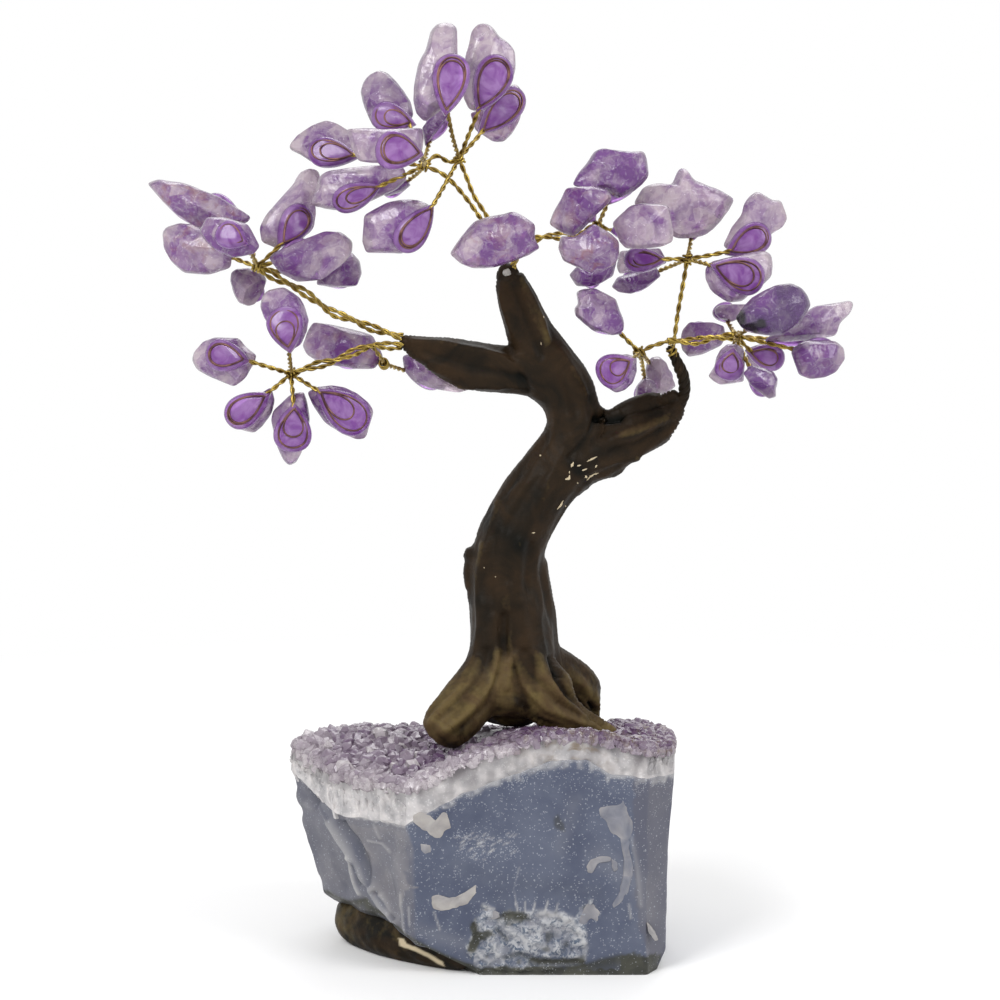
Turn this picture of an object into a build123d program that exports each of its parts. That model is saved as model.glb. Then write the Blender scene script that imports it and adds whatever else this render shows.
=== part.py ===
from build123d import *
import math
import os
from collections import namedtuple

os.makedirs("parts", exist_ok=True)

# Driving dimensions of the ornament, in millimetres
base_width = 77.0  # rock, left to right
base_depth = 56.0  # rock, front to back
base_height = 49.0  # rock, foot to the highest point of its rim
tree_height = 142.6  # root line to the top of the crown
canopy_depth = 60.0  # stones, front to back
trunk_width = 16.0
stone_thickness = 7.4
wire_diameter = 0.6
pair_diameter = 1.2  # two wires twisted into a stem
loop_width = 5.0  # wire loop that holds a stone
drop_thickness = 1.5  # resin drop round the loop
drop_margin = 1.1  # resin outside the loop
drop_round = 0.45
knot_diameter = 2.6  # where the stems of a bough part
core_diameter = 4.2  # wire core of the trunk
limb_core_diameter = 2.4
root_core_diameter = 2.0
spur_diameter = 2.6  # coated wires on the end of the right limb
stub_lead_share = 1.0  # straight end of a limb's wires before a bough, of the bough's girth
stub_seat_share = 0.2  # how far back in the limb they start, of its last run
bend_gap = 0.3  # clear of the fixed wires at the place where a bough bends
crystal_width = 5.6
crystal_height = 4.2
crystal_sink = 2.0  # how far a crystal's foot goes into its bed
foot_height = 9.5
foot_corner = 2.4

# The photograph's frame: a pixel and a depth give a place on the real tree
picture_centre_px = 500.0
crown_px = 22.0
root_line_px = 735.0
view_distance = 900.0
view_rise_deg = 10.0
sight_share = 0.33  # height of the picture's middle, of the tree's height above its seat
seat_share = 0.875  # height of the crystals under the trunk, of the rock's height

seat_height = seat_share * base_height
mm_per_px = tree_height / (root_line_px - crown_px)
focal_px = view_distance / mm_per_px
view_rise = math.radians(view_rise_deg)
looking = Vector(0, math.cos(view_rise), -math.sin(view_rise))
rising = Vector(0, math.sin(view_rise), math.cos(view_rise))
eye = Vector(0, 0, seat_height + sight_share * tree_height) - looking * view_distance

# One stone with its resin drop and wire. loop_px goes from where the stem enters to the loop's far end.
Leaf = namedtuple(
    "Leaf",
    "node outline_px depth_share loop_px loop_share side nod_deg swing_deg thick_share hub",
    defaults=(1.0, 1, 0.0, 0.0, 1.0, 0),
)
# One bough: the knots its stems part from, the wires that carry them, and its leaves.
Bough = namedtuple("Bough", "girth_share routes_px leaves")


def sight_line(px, py):
    """The direction in which the pixel is seen."""
    across = (px - picture_centre_px) / focal_px
    up = (picture_centre_px - py) / focal_px
    return looking + Vector(across, 0, 0) + rising * up


def seen_at(px, py, depth_share):
    """The place at that depth that shows at the pixel."""
    ray = sight_line(px, py)
    return eye + ray * ((depth_share * canopy_depth - eye.Y) / ray.Y)


def seen_on(px, py, place, normal):
    """The place on a plane that shows at the pixel."""
    ray = sight_line(px, py)
    return eye + ray * ((place - eye).dot(normal) / ray.dot(normal))


def flat_face(points):
    return Face(Wire.make_polygon(points, close=True))


def closed_solid(faces):
    solid = Solid(Shell(faces))
    return solid if solid.volume > 0 else -solid


# Rock base


# Each column of the rock, from the front left corner round to the left: the share of the width and depth at
# its foot, its waist and its rim, then the shares of the height of the quartz, the crystals and the rim. Last
# comes its knee, where the underside turns up into the side: its height, and its reach from foot to waist.
rock_columns_shares = (
    ((-0.05, -0.52), (-0.22, -0.52), (-0.24, -0.52), (0.62, 0.75, 0.79), (0.13, 0.98)),
    ((0.03, -0.52), (-0.04, -0.52), (-0.08, -0.52), (0.76, 0.87, 0.91), (0.06, 0.8)),
    ((0.13, -0.52), (0.12, -0.52), (0.12, -0.52), (0.88, 0.97, 0.99), (0.06, 0.8)),
    ((0.21, -0.52), (0.215, -0.52), (0.22, -0.52), (0.89, 0.98, 1.0), (0.06, 0.8)),
    ((0.27, -0.52), (0.28, -0.52), (0.285, -0.52), (0.83, 0.96, 0.99), (0.06, 0.8)),
    ((0.375, -0.52), (0.375, -0.52), (0.375, -0.52), (0.81, 0.92, 0.95), (0.06, 0.8)),
    ((0.405, -0.44), (0.43, -0.45), (0.445, -0.45), (0.81, 0.91, 0.94), (0.08, 0.8)),
    ((0.40, -0.04), (0.44, -0.02), (0.455, 0.0), (0.78, 0.85, 0.88), (0.1, 0.78)),
    ((0.32, 0.28), (0.36, 0.31), (0.37, 0.33), (0.72, 0.79, 0.83), (0.1, 0.78)),
    ((0.14, 0.40), (0.18, 0.45), (0.17, 0.46), (0.65, 0.73, 0.77), (0.12, 0.78)),
    ((-0.10, 0.40), (-0.13, 0.47), (-0.15, 0.46), (0.62, 0.72, 0.76), (0.14, 0.78)),
    ((-0.24, 0.22), (-0.42, 0.30), (-0.43, 0.29), (0.64, 0.75, 0.80), (0.19, 0.78)),
    ((-0.27, -0.03), (-0.525, -0.07), (-0.545, -0.05), (0.66, 0.79, 0.85), (0.2, 0.78)),
    ((-0.19, -0.28), (-0.37, -0.32), (-0.42, -0.30), (0.6, 0.74, 0.79), (0.2, 0.78)),
)
waist_height_share = 0.52
dish_shares = (0.60, 0.74, 0.88)  # height of the middle of the quartz, of the crystals and of their bed
dish_middle_shares = (0.03, -0.02)
rim_draw_share = 0.985  # the rim stands in a little from the side


def rock_point(plan_shares, height_share):
    return Vector(
        plan_shares[0] * base_width, plan_shares[1] * base_depth, height_share * base_height
    )


def between(a, b, share):
    return a + (b - a) * share


def rock_ring(level):
    """The corners of the rock at one level, anticlockwise from above."""
    ring = []
    for foot, waist, rim, heights, (knee, reach) in rock_columns_shares:
        if level == "foot":
            ring.append(rock_point(foot, 0))
        elif level == "knee":
            plan = between(rock_point(foot, 0), rock_point(waist, 0), reach)
            ring.append(plan + Vector(0, 0, knee * base_height))
        elif level == "waist":
            ring.append(rock_point(waist, waist_height_share))
        elif level == "quartz":
            ring.append(rock_point(rim, heights[0]))
        elif level == "crystals":
            ring.append(rock_point(rim, heights[1]))
        else:
            drawn = (rim[0] * rim_draw_share, rim[1] * rim_draw_share)
            ring.append(rock_point(drawn, heights[2]))
    return ring


def dish_point(which):
    return rock_point(dish_middle_shares, dish_shares[which])


def wall_between(low, high):
    """Flat triangles from one ring up to the next."""
    faces = []
    for i in range(len(low)):
        j = (i + 1) % len(low)
        faces.append(flat_face([low[i], low[j], high[j]]))
        faces.append(flat_face([low[i], high[j], high[i]]))
    return faces


def fan(ring, middle):
    """Flat triangles from a ring to a point in its middle."""
    return [flat_face([ring[i - 1], ring[i], middle]) for i in range(len(ring))]


def make_agate():
    rings = [rock_ring(level) for level in ("foot", "knee", "waist", "quartz")]
    faces = [flat_face(rings[0])]
    for low, high in zip(rings, rings[1:]):
        faces += wall_between(low, high)
    faces += fan(rings[-1], dish_point(0))
    return closed_solid(faces)


def make_quartz():
    low, high = rock_ring("quartz"), rock_ring("crystals")
    return closed_solid(
        fan(low, dish_point(0)) + wall_between(low, high) + fan(high, dish_point(1))
    )


def bed_place(across_share, back_share):
    """A place on the crystal bed: a share of the way round its rim, and of the way out from its middle."""
    rim = rock_ring("rim")
    turn = across_share * len(rim)
    i = int(turn) % len(rim)
    edge = between(rim[i], rim[(i + 1) % len(rim)], turn - int(turn))
    return between(dish_point(2), edge, back_share)


crystal_rows_shares = ((0.0, 1), (0.2, 6), (0.38, 12), (0.56, 18), (0.74, 24), (0.91, 30))  # way out, count
crystal_sides = 6
crystal_turn_deg = 360 / crystal_sides
crystal_waist_share = 0.45  # height of the prism below the point
crystal_foot_share = 0.9  # width of its foot, of its waist's
least_width_share = 0.62  # of the narrowest crystal, of the widest
least_height_share = 0.6
most_lean_deg = 16.0
row_scatter_share = 0.25  # most that a crystal strays along its row, of their spacing
scatter_step, scatter_span = 12.9898, 43758.5453
height_draw, lean_draw, tilt_draw, place_draw = 0.5, 0.2, 0.7, 0.3  # which draw each thing takes


def uneven(k, least, most):
    """A steady scatter between two values, from a running number."""
    wave = math.sin(k * scatter_step) * scatter_span
    return least + (most - least) * (wave - math.floor(wave))


def crystal(place, k):
    """A six-sided quartz crystal with its foot in the bed."""
    radius = crystal_width / 2 * uneven(k, least_width_share, 1)
    height = crystal_height * uneven(k + height_draw, least_height_share, 1)
    lean = uneven(k + lean_draw, -most_lean_deg, most_lean_deg)
    tilt = uneven(k + tilt_draw, -most_lean_deg, most_lean_deg)
    stance = Location((0, 0, 0), (lean, tilt, uneven(k, 0, crystal_turn_deg)))
    rings = []
    for z, reach in ((-crystal_sink, crystal_foot_share), (height * crystal_waist_share, 1)):
        ring = []
        for i in range(crystal_sides):
            angle = 2 * math.pi * i / crystal_sides
            ring.append(Vector(radius * reach * math.cos(angle), radius * reach * math.sin(angle), z))
        rings.append(ring)
    faces = [flat_face(rings[0])] + wall_between(*rings) + fan(rings[1], Vector(0, 0, height))
    return Location((place.X, place.Y, place.Z)) * stance * closed_solid(faces)


def make_crystal_bed(quartz):
    low, high = rock_ring("crystals"), rock_ring("rim")
    bed = closed_solid(
        fan(low, dish_point(1)) + wall_between(low, high) + fan(high, dish_point(2))
    )
    crystals = []
    k = 0
    for out, count in crystal_rows_shares:
        for i in range(count):
            k += 1
            around = (i + uneven(k + place_draw, -row_scatter_share, row_scatter_share)) / count % 1
            crystals.append(crystal(bed_place(around, out), k))
    return bed.fuse(*crystals) - quartz


foot_outline_shares = (
    (-0.42, 0.04), (-0.425, -0.10), (-0.32, -0.30), (-0.16, -0.47),
    (-0.07, -0.50), (-0.10, -0.24), (-0.18, 0.02), (-0.30, 0.13),
)


def make_foot(agate):
    outline = Polyline(
        *[rock_point(shares, 0) for shares in foot_outline_shares], close=True
    )
    lump = extrude(make_face(outline), foot_height)
    lump = fillet(lump.edges().filter_by(Axis.Z), foot_corner)
    return lump - agate


# Trunk, roots and limbs, pressed from putty over the wire core

# Along each: pixel, depth share, then half the width and half the depth as shares of the trunk's width
trunk_stations = (
    ((512, 708, 0.0), 0.44, 0.40),
    ((511, 680, 0.0), 0.50, 0.46),
    ((509, 645, 0.0), 0.50, 0.46),
    ((508, 600, 0.0), 0.50, 0.46),
    ((509, 562, 0.0), 0.47, 0.44),
    ((519, 522, 0.0), 0.47, 0.44),
    ((538, 486, 0.0), 0.46, 0.43),
    ((561, 452, 0.01), 0.45, 0.42),
    ((573, 424, 0.01), 0.36, 0.36),
)
left_root_stations = (
    ((500, 640, -0.02), 0.26, 0.28),
    ((489, 672, -0.06), 0.28, 0.28),
    ((470, 700, -0.12), 0.27, 0.27),
    ((449, 722, -0.18), 0.24, 0.24),
    ((438, 750, -0.22), 0.20, 0.20),
)
right_root_stations = (
    ((528, 645, -0.03), 0.27, 0.28),
    ((544, 680, -0.07), 0.27, 0.26),
    ((564, 706, -0.10), 0.25, 0.24),
    ((590, 726, -0.10), 0.17, 0.18),
    ((611, 735, -0.08), 0.07, 0.08),
)
rear_root_stations = (
    ((536, 640, 0.04), 0.27, 0.26),
    ((558, 668, 0.10), 0.31, 0.28),
    ((574, 692, 0.16), 0.31, 0.28),
    ((582, 726, 0.20), 0.26, 0.26),
)
left_limb_stations = (
    ((560, 392, 0.01), 0.26, 0.26),
    ((532, 373, 0.0), 0.27, 0.26),
    ((500, 369, -0.01), 0.26, 0.24),
    ((468, 364, -0.02), 0.27, 0.23),
    ((440, 356, -0.03), 0.22, 0.20),
    ((418, 348, -0.035), 0.145, 0.14),
    ((402, 341, -0.04), 0.095, 0.095),
)
centre_limb_stations = (
    ((574, 428, 0.01), 0.32, 0.32),
    ((568, 392, 0.01), 0.30, 0.30),
    ((554, 358, 0.01), 0.29, 0.28),
    ((535, 325, 0.0), 0.25, 0.25),
    ((519, 295, 0.0), 0.23, 0.22),
    ((511, 275, 0.0), 0.14, 0.14),
    ((509, 266, 0.0), 0.10, 0.10),
)
right_limb_stations = (
    ((574, 462, 0.02), 0.30, 0.30),
    ((602, 446, 0.04), 0.33, 0.30),
    ((630, 430, 0.05), 0.32, 0.29),
    ((656, 418, 0.06), 0.29, 0.26),
    ((674, 410, 0.06), 0.22, 0.20),
    ((683, 405, 0.06), 0.12, 0.12),
)
spur_route_px = ((676, 410, 0.06), (684, 394, 0.05), (682, 376, 0.03), (675, 358, 0.01), (670, 348, 0.0))


def along(stations):
    return [seen_at(*place) for place, width, depth in stations]


def limb(stations):
    """A smooth limb through oval sections square to its line."""
    points = along(stations)
    sections = []
    for i, (place, width, depth) in enumerate(stations):
        before, after = points[max(i - 1, 0)], points[min(i + 1, len(points) - 1)]
        run = (after - before).normalized()
        flat = Plane(origin=points[i], x_dir=Vector(0, 1, 0).cross(run), z_dir=run)
        sections.append(flat * Ellipse(width * trunk_width, depth * trunk_width))
    return loft(sections)


arc_share = 0.45  # of the shorter run, taken by an arc at a corner


def bent_line(points):
    """Straight runs joined by arcs as large as the runs allow."""
    if len(points) == 2:
        return Line(*points)
    radii = []
    for a, b, c in zip(points, points[1:], points[2:]):
        half_turn = math.radians((b - a).get_angle(c - b)) / 2
        radii.append(arc_share * min((b - a).length, (c - b).length) / math.tan(half_turn))
    return FilletPolyline(*points, radius=radii)


def tube(points, diameter):
    path = bent_line(points)
    start = Plane(origin=path @ 0, z_dir=path % 0)
    return sweep(start * Circle(diameter / 2), path=path)


def collar(place, run, diameter, length):
    """A short stout length of twisted wire, centred on a place where wires part."""
    return Plane(origin=place, z_dir=run) * Cylinder(diameter / 2, length)


# Boughs: twisted wires that carry the stones. Every place is a pixel and a depth share.
boughs = {
    "left_upper": Bough(
        1.8,
        (
            ((391, 334, -0.045), (372, 328, -0.05), (350, 319, -0.06), (330, 311, -0.07), (302, 291, -0.08),
             (278, 279, -0.09), (257, 267, -0.09)),
        ),
        (
            Leaf("stone_long", ((146, 183), (158, 179), (185, 183), (220, 197), (252, 217), (248, 223),
                                (228, 226), (198, 229), (178, 217), (161, 200)),
                 0.10, ((240, 221), (208, 205)), 0.9, -1, 6, -14),
            Leaf("stone_spotted", ((162, 233), (166, 227), (178, 223), (192, 224), (205, 231), (224, 240),
                                   (232, 252), (231, 268), (209, 275), (184, 273), (171, 261), (164, 248)),
                 -0.06, ((226, 256), (198, 250)), 1.0, -1, -8, -16),
            Leaf("small_stones", ((199, 232), (206, 217), (224, 217), (248, 224), (260, 246), (254, 254),
                                  (233, 258), (216, 251), (206, 242)),
                 -0.27, ((244, 242), (222, 231)), 0.75, 1, 8, -12, 0.8),
            Leaf("small_stones", ((231, 273), (236, 269), (250, 268), (262, 271), (267, 280), (263, 292),
                                  (255, 304), (248, 306), (239, 303), (234, 295), (230, 281)),
                 0.02, ((252, 276), (249, 296)), 0.8, -1, -18, 6, 0.9),
            Leaf("stone_upright", ((309, 168), (318, 170), (321, 179), (314, 200), (316, 214), (313, 230),
                                   (300, 241), (278, 249), (262, 243), (259, 228), (265, 216), (278, 201),
                                   (295, 182), (300, 172)),
                 0.04, ((282, 243), (304, 211)), 0.9, 1, 4, 22),
            Leaf("stone_broad", ((268, 258), (275, 252), (288, 246), (304, 239), (325, 231), (342, 232),
                                 (353, 241), (352, 254), (343, 264), (322, 280), (297, 282), (280, 273)),
                 -0.13, ((276, 261), (312, 256)), 1.1, -1, 6, 10),
            Leaf("small_stones", ((318, 272), (338, 259), (352, 252), (360, 261), (362, 273), (357, 286),
                                  (335, 288), (316, 285)),
                 0.06, ((322, 279), (346, 270)), 0.9, -1, -10, 12, 0.9),
        ),
    ),
    "left_lower": Bough(
        1.25,
        (
            ((391, 346, -0.075), (372, 346, -0.10), (352, 353, -0.13), (334, 361, -0.15), (314, 366, -0.17),
             (291, 374, -0.18)),
            ((372, 346, -0.10), (380, 357, -0.05), (384, 364, 0.02)),
        ),
        (
            Leaf("stone_top", ((277, 288), (284, 287), (300, 297), (305, 306), (309, 320), (307, 331),
                               (301, 345), (291, 351), (282, 344), (270, 327), (264, 318), (260, 307),
                               (262, 296), (268, 290)),
                 -0.30, ((289, 348), (283, 312)), 1.1, 1, 8, -6),
            Leaf("stone_left", ((204, 341), (216, 337), (239, 338), (246, 347), (257, 355), (254, 364),
                                (244, 380), (234, 387), (210, 377), (197, 370), (192, 361), (194, 352)),
                 -0.20, ((245, 360), (211, 353)), 0.9, 1, 4, -16),
            Leaf("stone_low_left", ((230, 418), (235, 410), (248, 401), (258, 395), (271, 387), (275, 400),
                                    (272, 413), (262, 427), (254, 433), (244, 431), (235, 428)),
                 -0.19, ((266, 396), (231, 419)), 0.95, 1, -4, -14, 0.85),
            Leaf("stone_low", ((271, 420), (273, 411), (282, 402), (291, 394), (304, 391), (308, 404),
                               (310, 418), (308, 435), (302, 452), (296, 463), (289, 466), (283, 460),
                               (276, 444)),
                 -0.22, ((294, 408), (292, 447)), 1.15, 1, -8, 4),
            Leaf("stone_low_right", ((307, 392), (316, 387), (330, 385), (344, 387), (357, 393), (369, 403),
                                     (374, 411), (366, 438), (358, 440), (342, 434), (325, 423), (313, 406)),
                 -0.20, ((320, 392), (363, 425)), 1.2, 1, -4, 12),
            Leaf("rear_stones", ((313, 322), (335, 325), (360, 331), (373, 335), (377, 343), (384, 357),
                                 (375, 369), (356, 369), (335, 366), (318, 362), (306, 354), (302, 345),
                                 (306, 334)),
                 0.06, ((374, 359), (338, 346)), 1.2, -1, 6, -6, 1.0, 1),
            Leaf("rear_stones", ((402, 356), (411, 353), (440, 365), (462, 378), (473, 389), (459, 393),
                                 (430, 388), (413, 381), (404, 370)),
                 0.18, ((409, 371), (440, 378)), 0.8, -1, 10, 8, 0.8, 1),
        ),
    ),
    "crown": Bough(
        1.15,
        (
            ((503, 257, 0.0), (497, 238, 0.01), (486, 215, 0.01), (474, 196, 0.005), (466, 176, -0.005),
             (459, 159, -0.01)),
            ((497, 238, 0.01), (481, 219, -0.035), (469, 202, -0.06), (454, 184, -0.065), (441, 173, -0.06),
             (424, 166, -0.07)),
            ((459, 159, -0.01), (449, 162, -0.01), (436, 156, -0.04), (424, 166, -0.07)),
        ),
        (
            Leaf("stone_tall_left", ((430, 32), (435, 24), (449, 22), (457, 27), (458, 58), (458, 84),
                                     (451, 105), (438, 113), (424, 123), (416, 114), (413, 100), (414, 85),
                                     (418, 63), (426, 49)),
                 -0.19, ((446, 111), (454, 59)), 1.1, 1, 10, 4, 1.1, 0),
            Leaf("stone_tall_right", ((471, 32), (477, 24), (487, 23), (494, 29), (500, 37), (509, 43),
                                      (515, 51), (516, 70), (511, 84), (500, 99), (483, 112), (469, 110),
                                      (463, 97), (462, 79), (464, 60), (469, 44)),
                 0.01, ((479, 108), (501, 61)), 1.15, 1, 8, 10, 1.1, 0),
            Leaf("rear_stones", ((470, 113), (484, 108), (501, 97), (512, 84), (518, 85), (523, 93),
                                 (523, 107), (519, 122), (512, 134), (504, 142), (493, 142), (485, 137),
                                 (475, 130)),
                 0.20, ((482, 131), (518, 94)), 1.0, 1, 0, 16, 0.9, 0),
            Leaf("stone_low", ((364, 215), (380, 206), (388, 202), (404, 199), (418, 200), (428, 204),
                               (434, 209), (432, 222), (425, 239), (414, 249), (401, 254), (383, 253),
                               (366, 253), (362, 242)),
                 -0.16, ((431, 208), (402, 246)), 0.9, 1, -6, 10, 1.0, 0),
            Leaf("stone_upper_left", ((360, 92), (363, 82), (370, 74), (379, 70), (388, 73), (396, 81),
                                      (404, 91), (411, 102), (414, 115), (408, 126), (393, 129), (374, 128),
                                      (369, 119), (364, 107)),
                 0.08, ((411, 123), (377, 114)), 0.85, 1, 6, -8, 1.0, 1),
            Leaf("stone_far_left", ((289, 146), (297, 136), (313, 125), (327, 120), (338, 124), (350, 131),
                                    (357, 146), (357, 160), (345, 164), (328, 166), (311, 162), (301, 155),
                                    (290, 150)),
                 0.14, ((354, 156), (313, 150)), 0.85, 1, 10, -10, 1.0, 1),
            Leaf("stone_front", ((346, 129), (363, 128), (383, 129), (405, 128), (423, 128), (424, 141),
                                 (421, 157), (411, 162), (399, 166), (387, 163), (372, 163), (358, 161),
                                 (352, 149)),
                 -0.30, ((419, 154), (381, 148)), 1.15, 1, 6, 4, 0.95, 1),
            Leaf("stone_slanted", ((319, 176), (327, 171), (346, 168), (376, 165), (404, 167), (408, 178),
                                   (398, 189), (376, 199), (357, 208), (337, 211), (320, 208), (309, 205),
                                   (314, 194)),
                 -0.085, ((378, 187), (338, 203)), 0.75, 1, -10, -6, 0.9, 1),
            Leaf("rear_stones", ((422, 128), (433, 113), (446, 105), (449, 115), (441, 127), (431, 139),
                                 (425, 147)),
                 0.16, ((430, 139), (440, 118)), 0.5, -1, 0, 0, 0.7, 1),
            Leaf("rear_stones", ((374, 186), (386, 178), (402, 176), (411, 185), (403, 192), (386, 197)),
                 0.10, ((405, 183), (386, 187)), 0.6, -1, 0, 0, 0.7, 1),
        ),
    ),
    "middle": Bough(
        1.4,
        (
            ((518, 257, -0.02), (524, 248, 0.0), (536, 239, 0.0), (549, 236, -0.01), (566, 236, -0.02),
             (583, 232, -0.03), (598, 226, -0.03)),
        ),
        (
            Leaf("stone_facing", ((449, 254), (456, 243), (464, 233), (474, 221), (490, 216), (504, 214),
                                  (513, 211), (522, 215), (536, 224), (535, 240), (541, 248), (526, 257),
                                  (509, 263), (493, 268), (473, 269), (461, 264)),
                 -0.28, ((521, 243), (487, 240)), 1.1, -1, -4, -6, 1.1, 1),
            Leaf("stone_top", ((572, 185), (578, 173), (587, 163), (594, 151), (601, 148), (614, 150),
                               (631, 152), (644, 151), (647, 158), (649, 176), (643, 184), (633, 192),
                               (619, 199), (604, 191), (587, 190)),
                 0.05, ((609, 201), (622, 170)), 1.2, -1, 8, 8, 1.1, 0),
            Leaf("stone_left", ((549, 224), (553, 212), (561, 199), (566, 188), (581, 186), (596, 186),
                                (608, 190), (613, 197), (608, 204), (595, 216), (582, 230), (573, 237),
                                (561, 233)),
                 -0.13, ((592, 218), (574, 203)), 1.0, -1, 6, -10, 0.9, 0),
            Leaf("lower_stones", ((560, 236), (575, 237), (585, 230), (594, 223), (609, 232), (619, 241),
                                  (620, 254), (616, 264), (605, 270), (590, 273), (576, 267), (563, 261),
                                  (558, 249)),
                 -0.28, ((601, 236), (588, 256)), 1.0, -1, -10, -4, 0.95, 0),
            Leaf("lower_stones", ((569, 275), (577, 266), (590, 268), (604, 263), (617, 261), (613, 276),
                                  (602, 283), (590, 287), (576, 286)),
                 -0.02, ((601, 266), (585, 278)), 0.7, -1, -14, 0, 0.75, 0),
            Leaf("stone_square", ((612, 223), (621, 214), (631, 205), (643, 203), (659, 204), (669, 206),
                                  (671, 219), (674, 232), (673, 242), (661, 247), (645, 249), (625, 249),
                                  (619, 241)),
                 -0.11, ((615, 231), (646, 226)), 1.1, -1, 4, 10, 0.85, 0),
        ),
    ),
    "right_upper": Bough(
        1.15,
        (
            ((675, 334, 0.04), (678, 312, 0.05), (682, 290, 0.07), (685, 273, 0.08), (687, 259, 0.08)),
        ),
        (
            Leaf("stone_horned", ((633, 204), (643, 187), (655, 183), (672, 185), (675, 177), (678, 169),
                                  (683, 167), (688, 171), (692, 179), (704, 184), (720, 190), (735, 199),
                                  (728, 212), (717, 226), (706, 235), (696, 238), (676, 239), (664, 229),
                                  (650, 216)),
                 0.25, ((693, 236), (690, 207)), 1.2, -1, 8, 10, 1.0),
            Leaf("stone_high", ((723, 246), (731, 228), (737, 220), (742, 214), (744, 204), (749, 196),
                                (757, 191), (766, 196), (773, 200), (781, 200), (784, 209), (788, 219),
                                (783, 227), (770, 235), (767, 244), (767, 250), (750, 252), (732, 253)),
                 0.16, ((730, 252), (765, 233)), 0.95, 1, 4, 14),
            Leaf("stone_round", ((705, 268), (710, 262), (720, 259), (743, 254), (764, 250), (771, 254),
                                 (773, 264), (772, 276), (764, 284), (751, 293), (743, 301), (729, 303),
                                 (720, 298), (710, 290), (705, 278)),
                 -0.04, ((715, 266), (759, 281)), 1.15, 1, -4, 8),
            Leaf("inner_stones", ((620, 251), (640, 249), (660, 248), (665, 257), (667, 263), (656, 267),
                                  (634, 271), (619, 274), (616, 267)),
                 0.14, ((662, 260), (629, 260)), 0.65, 1, 6, -8, 0.75),
            Leaf("inner_stones", ((611, 287), (617, 277), (640, 271), (657, 267), (661, 276), (647, 288),
                                  (631, 294), (618, 292)),
                 0.27, ((655, 273), (628, 282)), 0.6, -1, -12, -6, 0.75),
        ),
    ),
    "right_inner": Bough(
        1.0,
        (
            ((659, 344, 0.0), (650, 347, -0.01), (640, 353, -0.02)),
        ),
        (
            Leaf("stone_upright", ((576, 292), (582, 289), (595, 288), (609, 295), (616, 299), (620, 311),
                                   (624, 320), (624, 331), (613, 336), (604, 333), (593, 331), (583, 323),
                                   (575, 316), (574, 308), (578, 304)),
                 -0.12, ((618, 331), (594, 311)), 0.9, -1, 4, -8, 0.95),
            Leaf("stone_round", ((597, 361), (612, 355), (628, 354), (637, 357), (637, 371), (633, 383),
                                 (625, 390), (616, 393), (607, 388), (599, 376), (596, 368)),
                 -0.14, ((630, 361), (603, 376)), 1.0, 1, -6, -8, 0.95),
            Leaf("rear_stones", ((647, 362), (652, 357), (659, 356), (666, 362), (671, 374), (676, 386),
                                 (667, 394), (656, 394), (649, 384), (645, 372)),
                 0.30, ((652, 365), (662, 384)), 0.7, -1, 0, 8, 0.8),
            Leaf("rear_stones", ((634, 399), (637, 385), (645, 377), (654, 380), (658, 391), (657, 401),
                                 (643, 405)),
                 0.18, ((645, 382), (646, 398)), 0.6, -1, 0, 0, 0.7),
        ),
    ),
    "right_outer": Bough(
        1.25,
        (
            ((680, 341, -0.05), (696, 341, -0.06), (712, 338, -0.06), (736, 336, -0.06)),
        ),
        (
            Leaf("stone_dark", ((735, 318), (742, 308), (751, 298), (763, 291), (776, 285), (791, 283),
                                (802, 288), (808, 295), (811, 305), (805, 316), (793, 328), (782, 335),
                                (769, 336), (755, 333), (741, 328)),
                 -0.28, ((749, 328), (781, 309)), 1.2, -1, 8, 6, 1.1),
            Leaf("stone_pointed", ((788, 331), (802, 315), (814, 306), (828, 304), (841, 302), (851, 300),
                                   (854, 304), (850, 314), (840, 323), (836, 336), (815, 340), (787, 342),
                                   (763, 342), (768, 336)),
                 -0.05, ((771, 339), (808, 328)), 0.8, -1, 4, 12),
            Leaf("stone_round", ((791, 352), (798, 344), (807, 340), (825, 340), (836, 341), (844, 348),
                                 (845, 359), (836, 372), (824, 378), (810, 379), (799, 375), (795, 364)),
                 -0.20, ((797, 350), (829, 358)), 1.1, -1, -6, 12, 1.0),
            Leaf("lower_stones", ((727, 344), (737, 344), (744, 349), (745, 364), (744, 382), (720, 385),
                                  (713, 381), (708, 376), (714, 367), (716, 358), (720, 350)),
                 -0.19, ((733, 352), (728, 375)), 0.8, 1, -10, -4, 0.9),
            Leaf("lower_stones", ((747, 348), (757, 346), (773, 348), (781, 355), (785, 360), (776, 367),
                                  (765, 369), (752, 368), (746, 358)),
                 0.02, ((750, 352), (779, 360)), 0.7, 1, -8, 8, 0.75),
            Leaf("lower_stones", ((743, 373), (751, 365), (765, 368), (774, 372), (778, 379), (776, 388),
                                  (776, 397), (769, 399), (760, 393), (750, 385)),
                 -0.34, ((751, 370), (768, 388)), 0.7, -1, -8, 4, 0.85),
            Leaf("inner_stones", ((680, 342), (682, 330), (689, 322), (697, 322), (712, 322), (724, 326),
                                  (726, 337), (721, 346), (710, 351), (701, 355), (688, 357), (682, 350)),
                 0.10, ((719, 338), (692, 338)), 0.95, -1, 0, -8, 0.9),
            Leaf("inner_stones", ((714, 309), (719, 305), (734, 304), (746, 304), (750, 312), (742, 317),
                                  (732, 322), (720, 319), (715, 314)),
                 0.14, ((727, 319), (722, 309)), 0.5, -1, 6, 0, 0.7),
        ),
    ),
}
# Knots of each bough, as (route, which point of it)
knots = {
    "left_upper": ((0, 6),),
    "left_lower": ((0, 5), (1, 2)),
    "crown": ((0, 5), (1, 5)),
    "middle": ((0, 6), (0, 1)),
    "right_upper": ((0, 4),),
    "right_inner": ((0, 2),),
    "right_outer": ((0, 3),),
}

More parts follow.
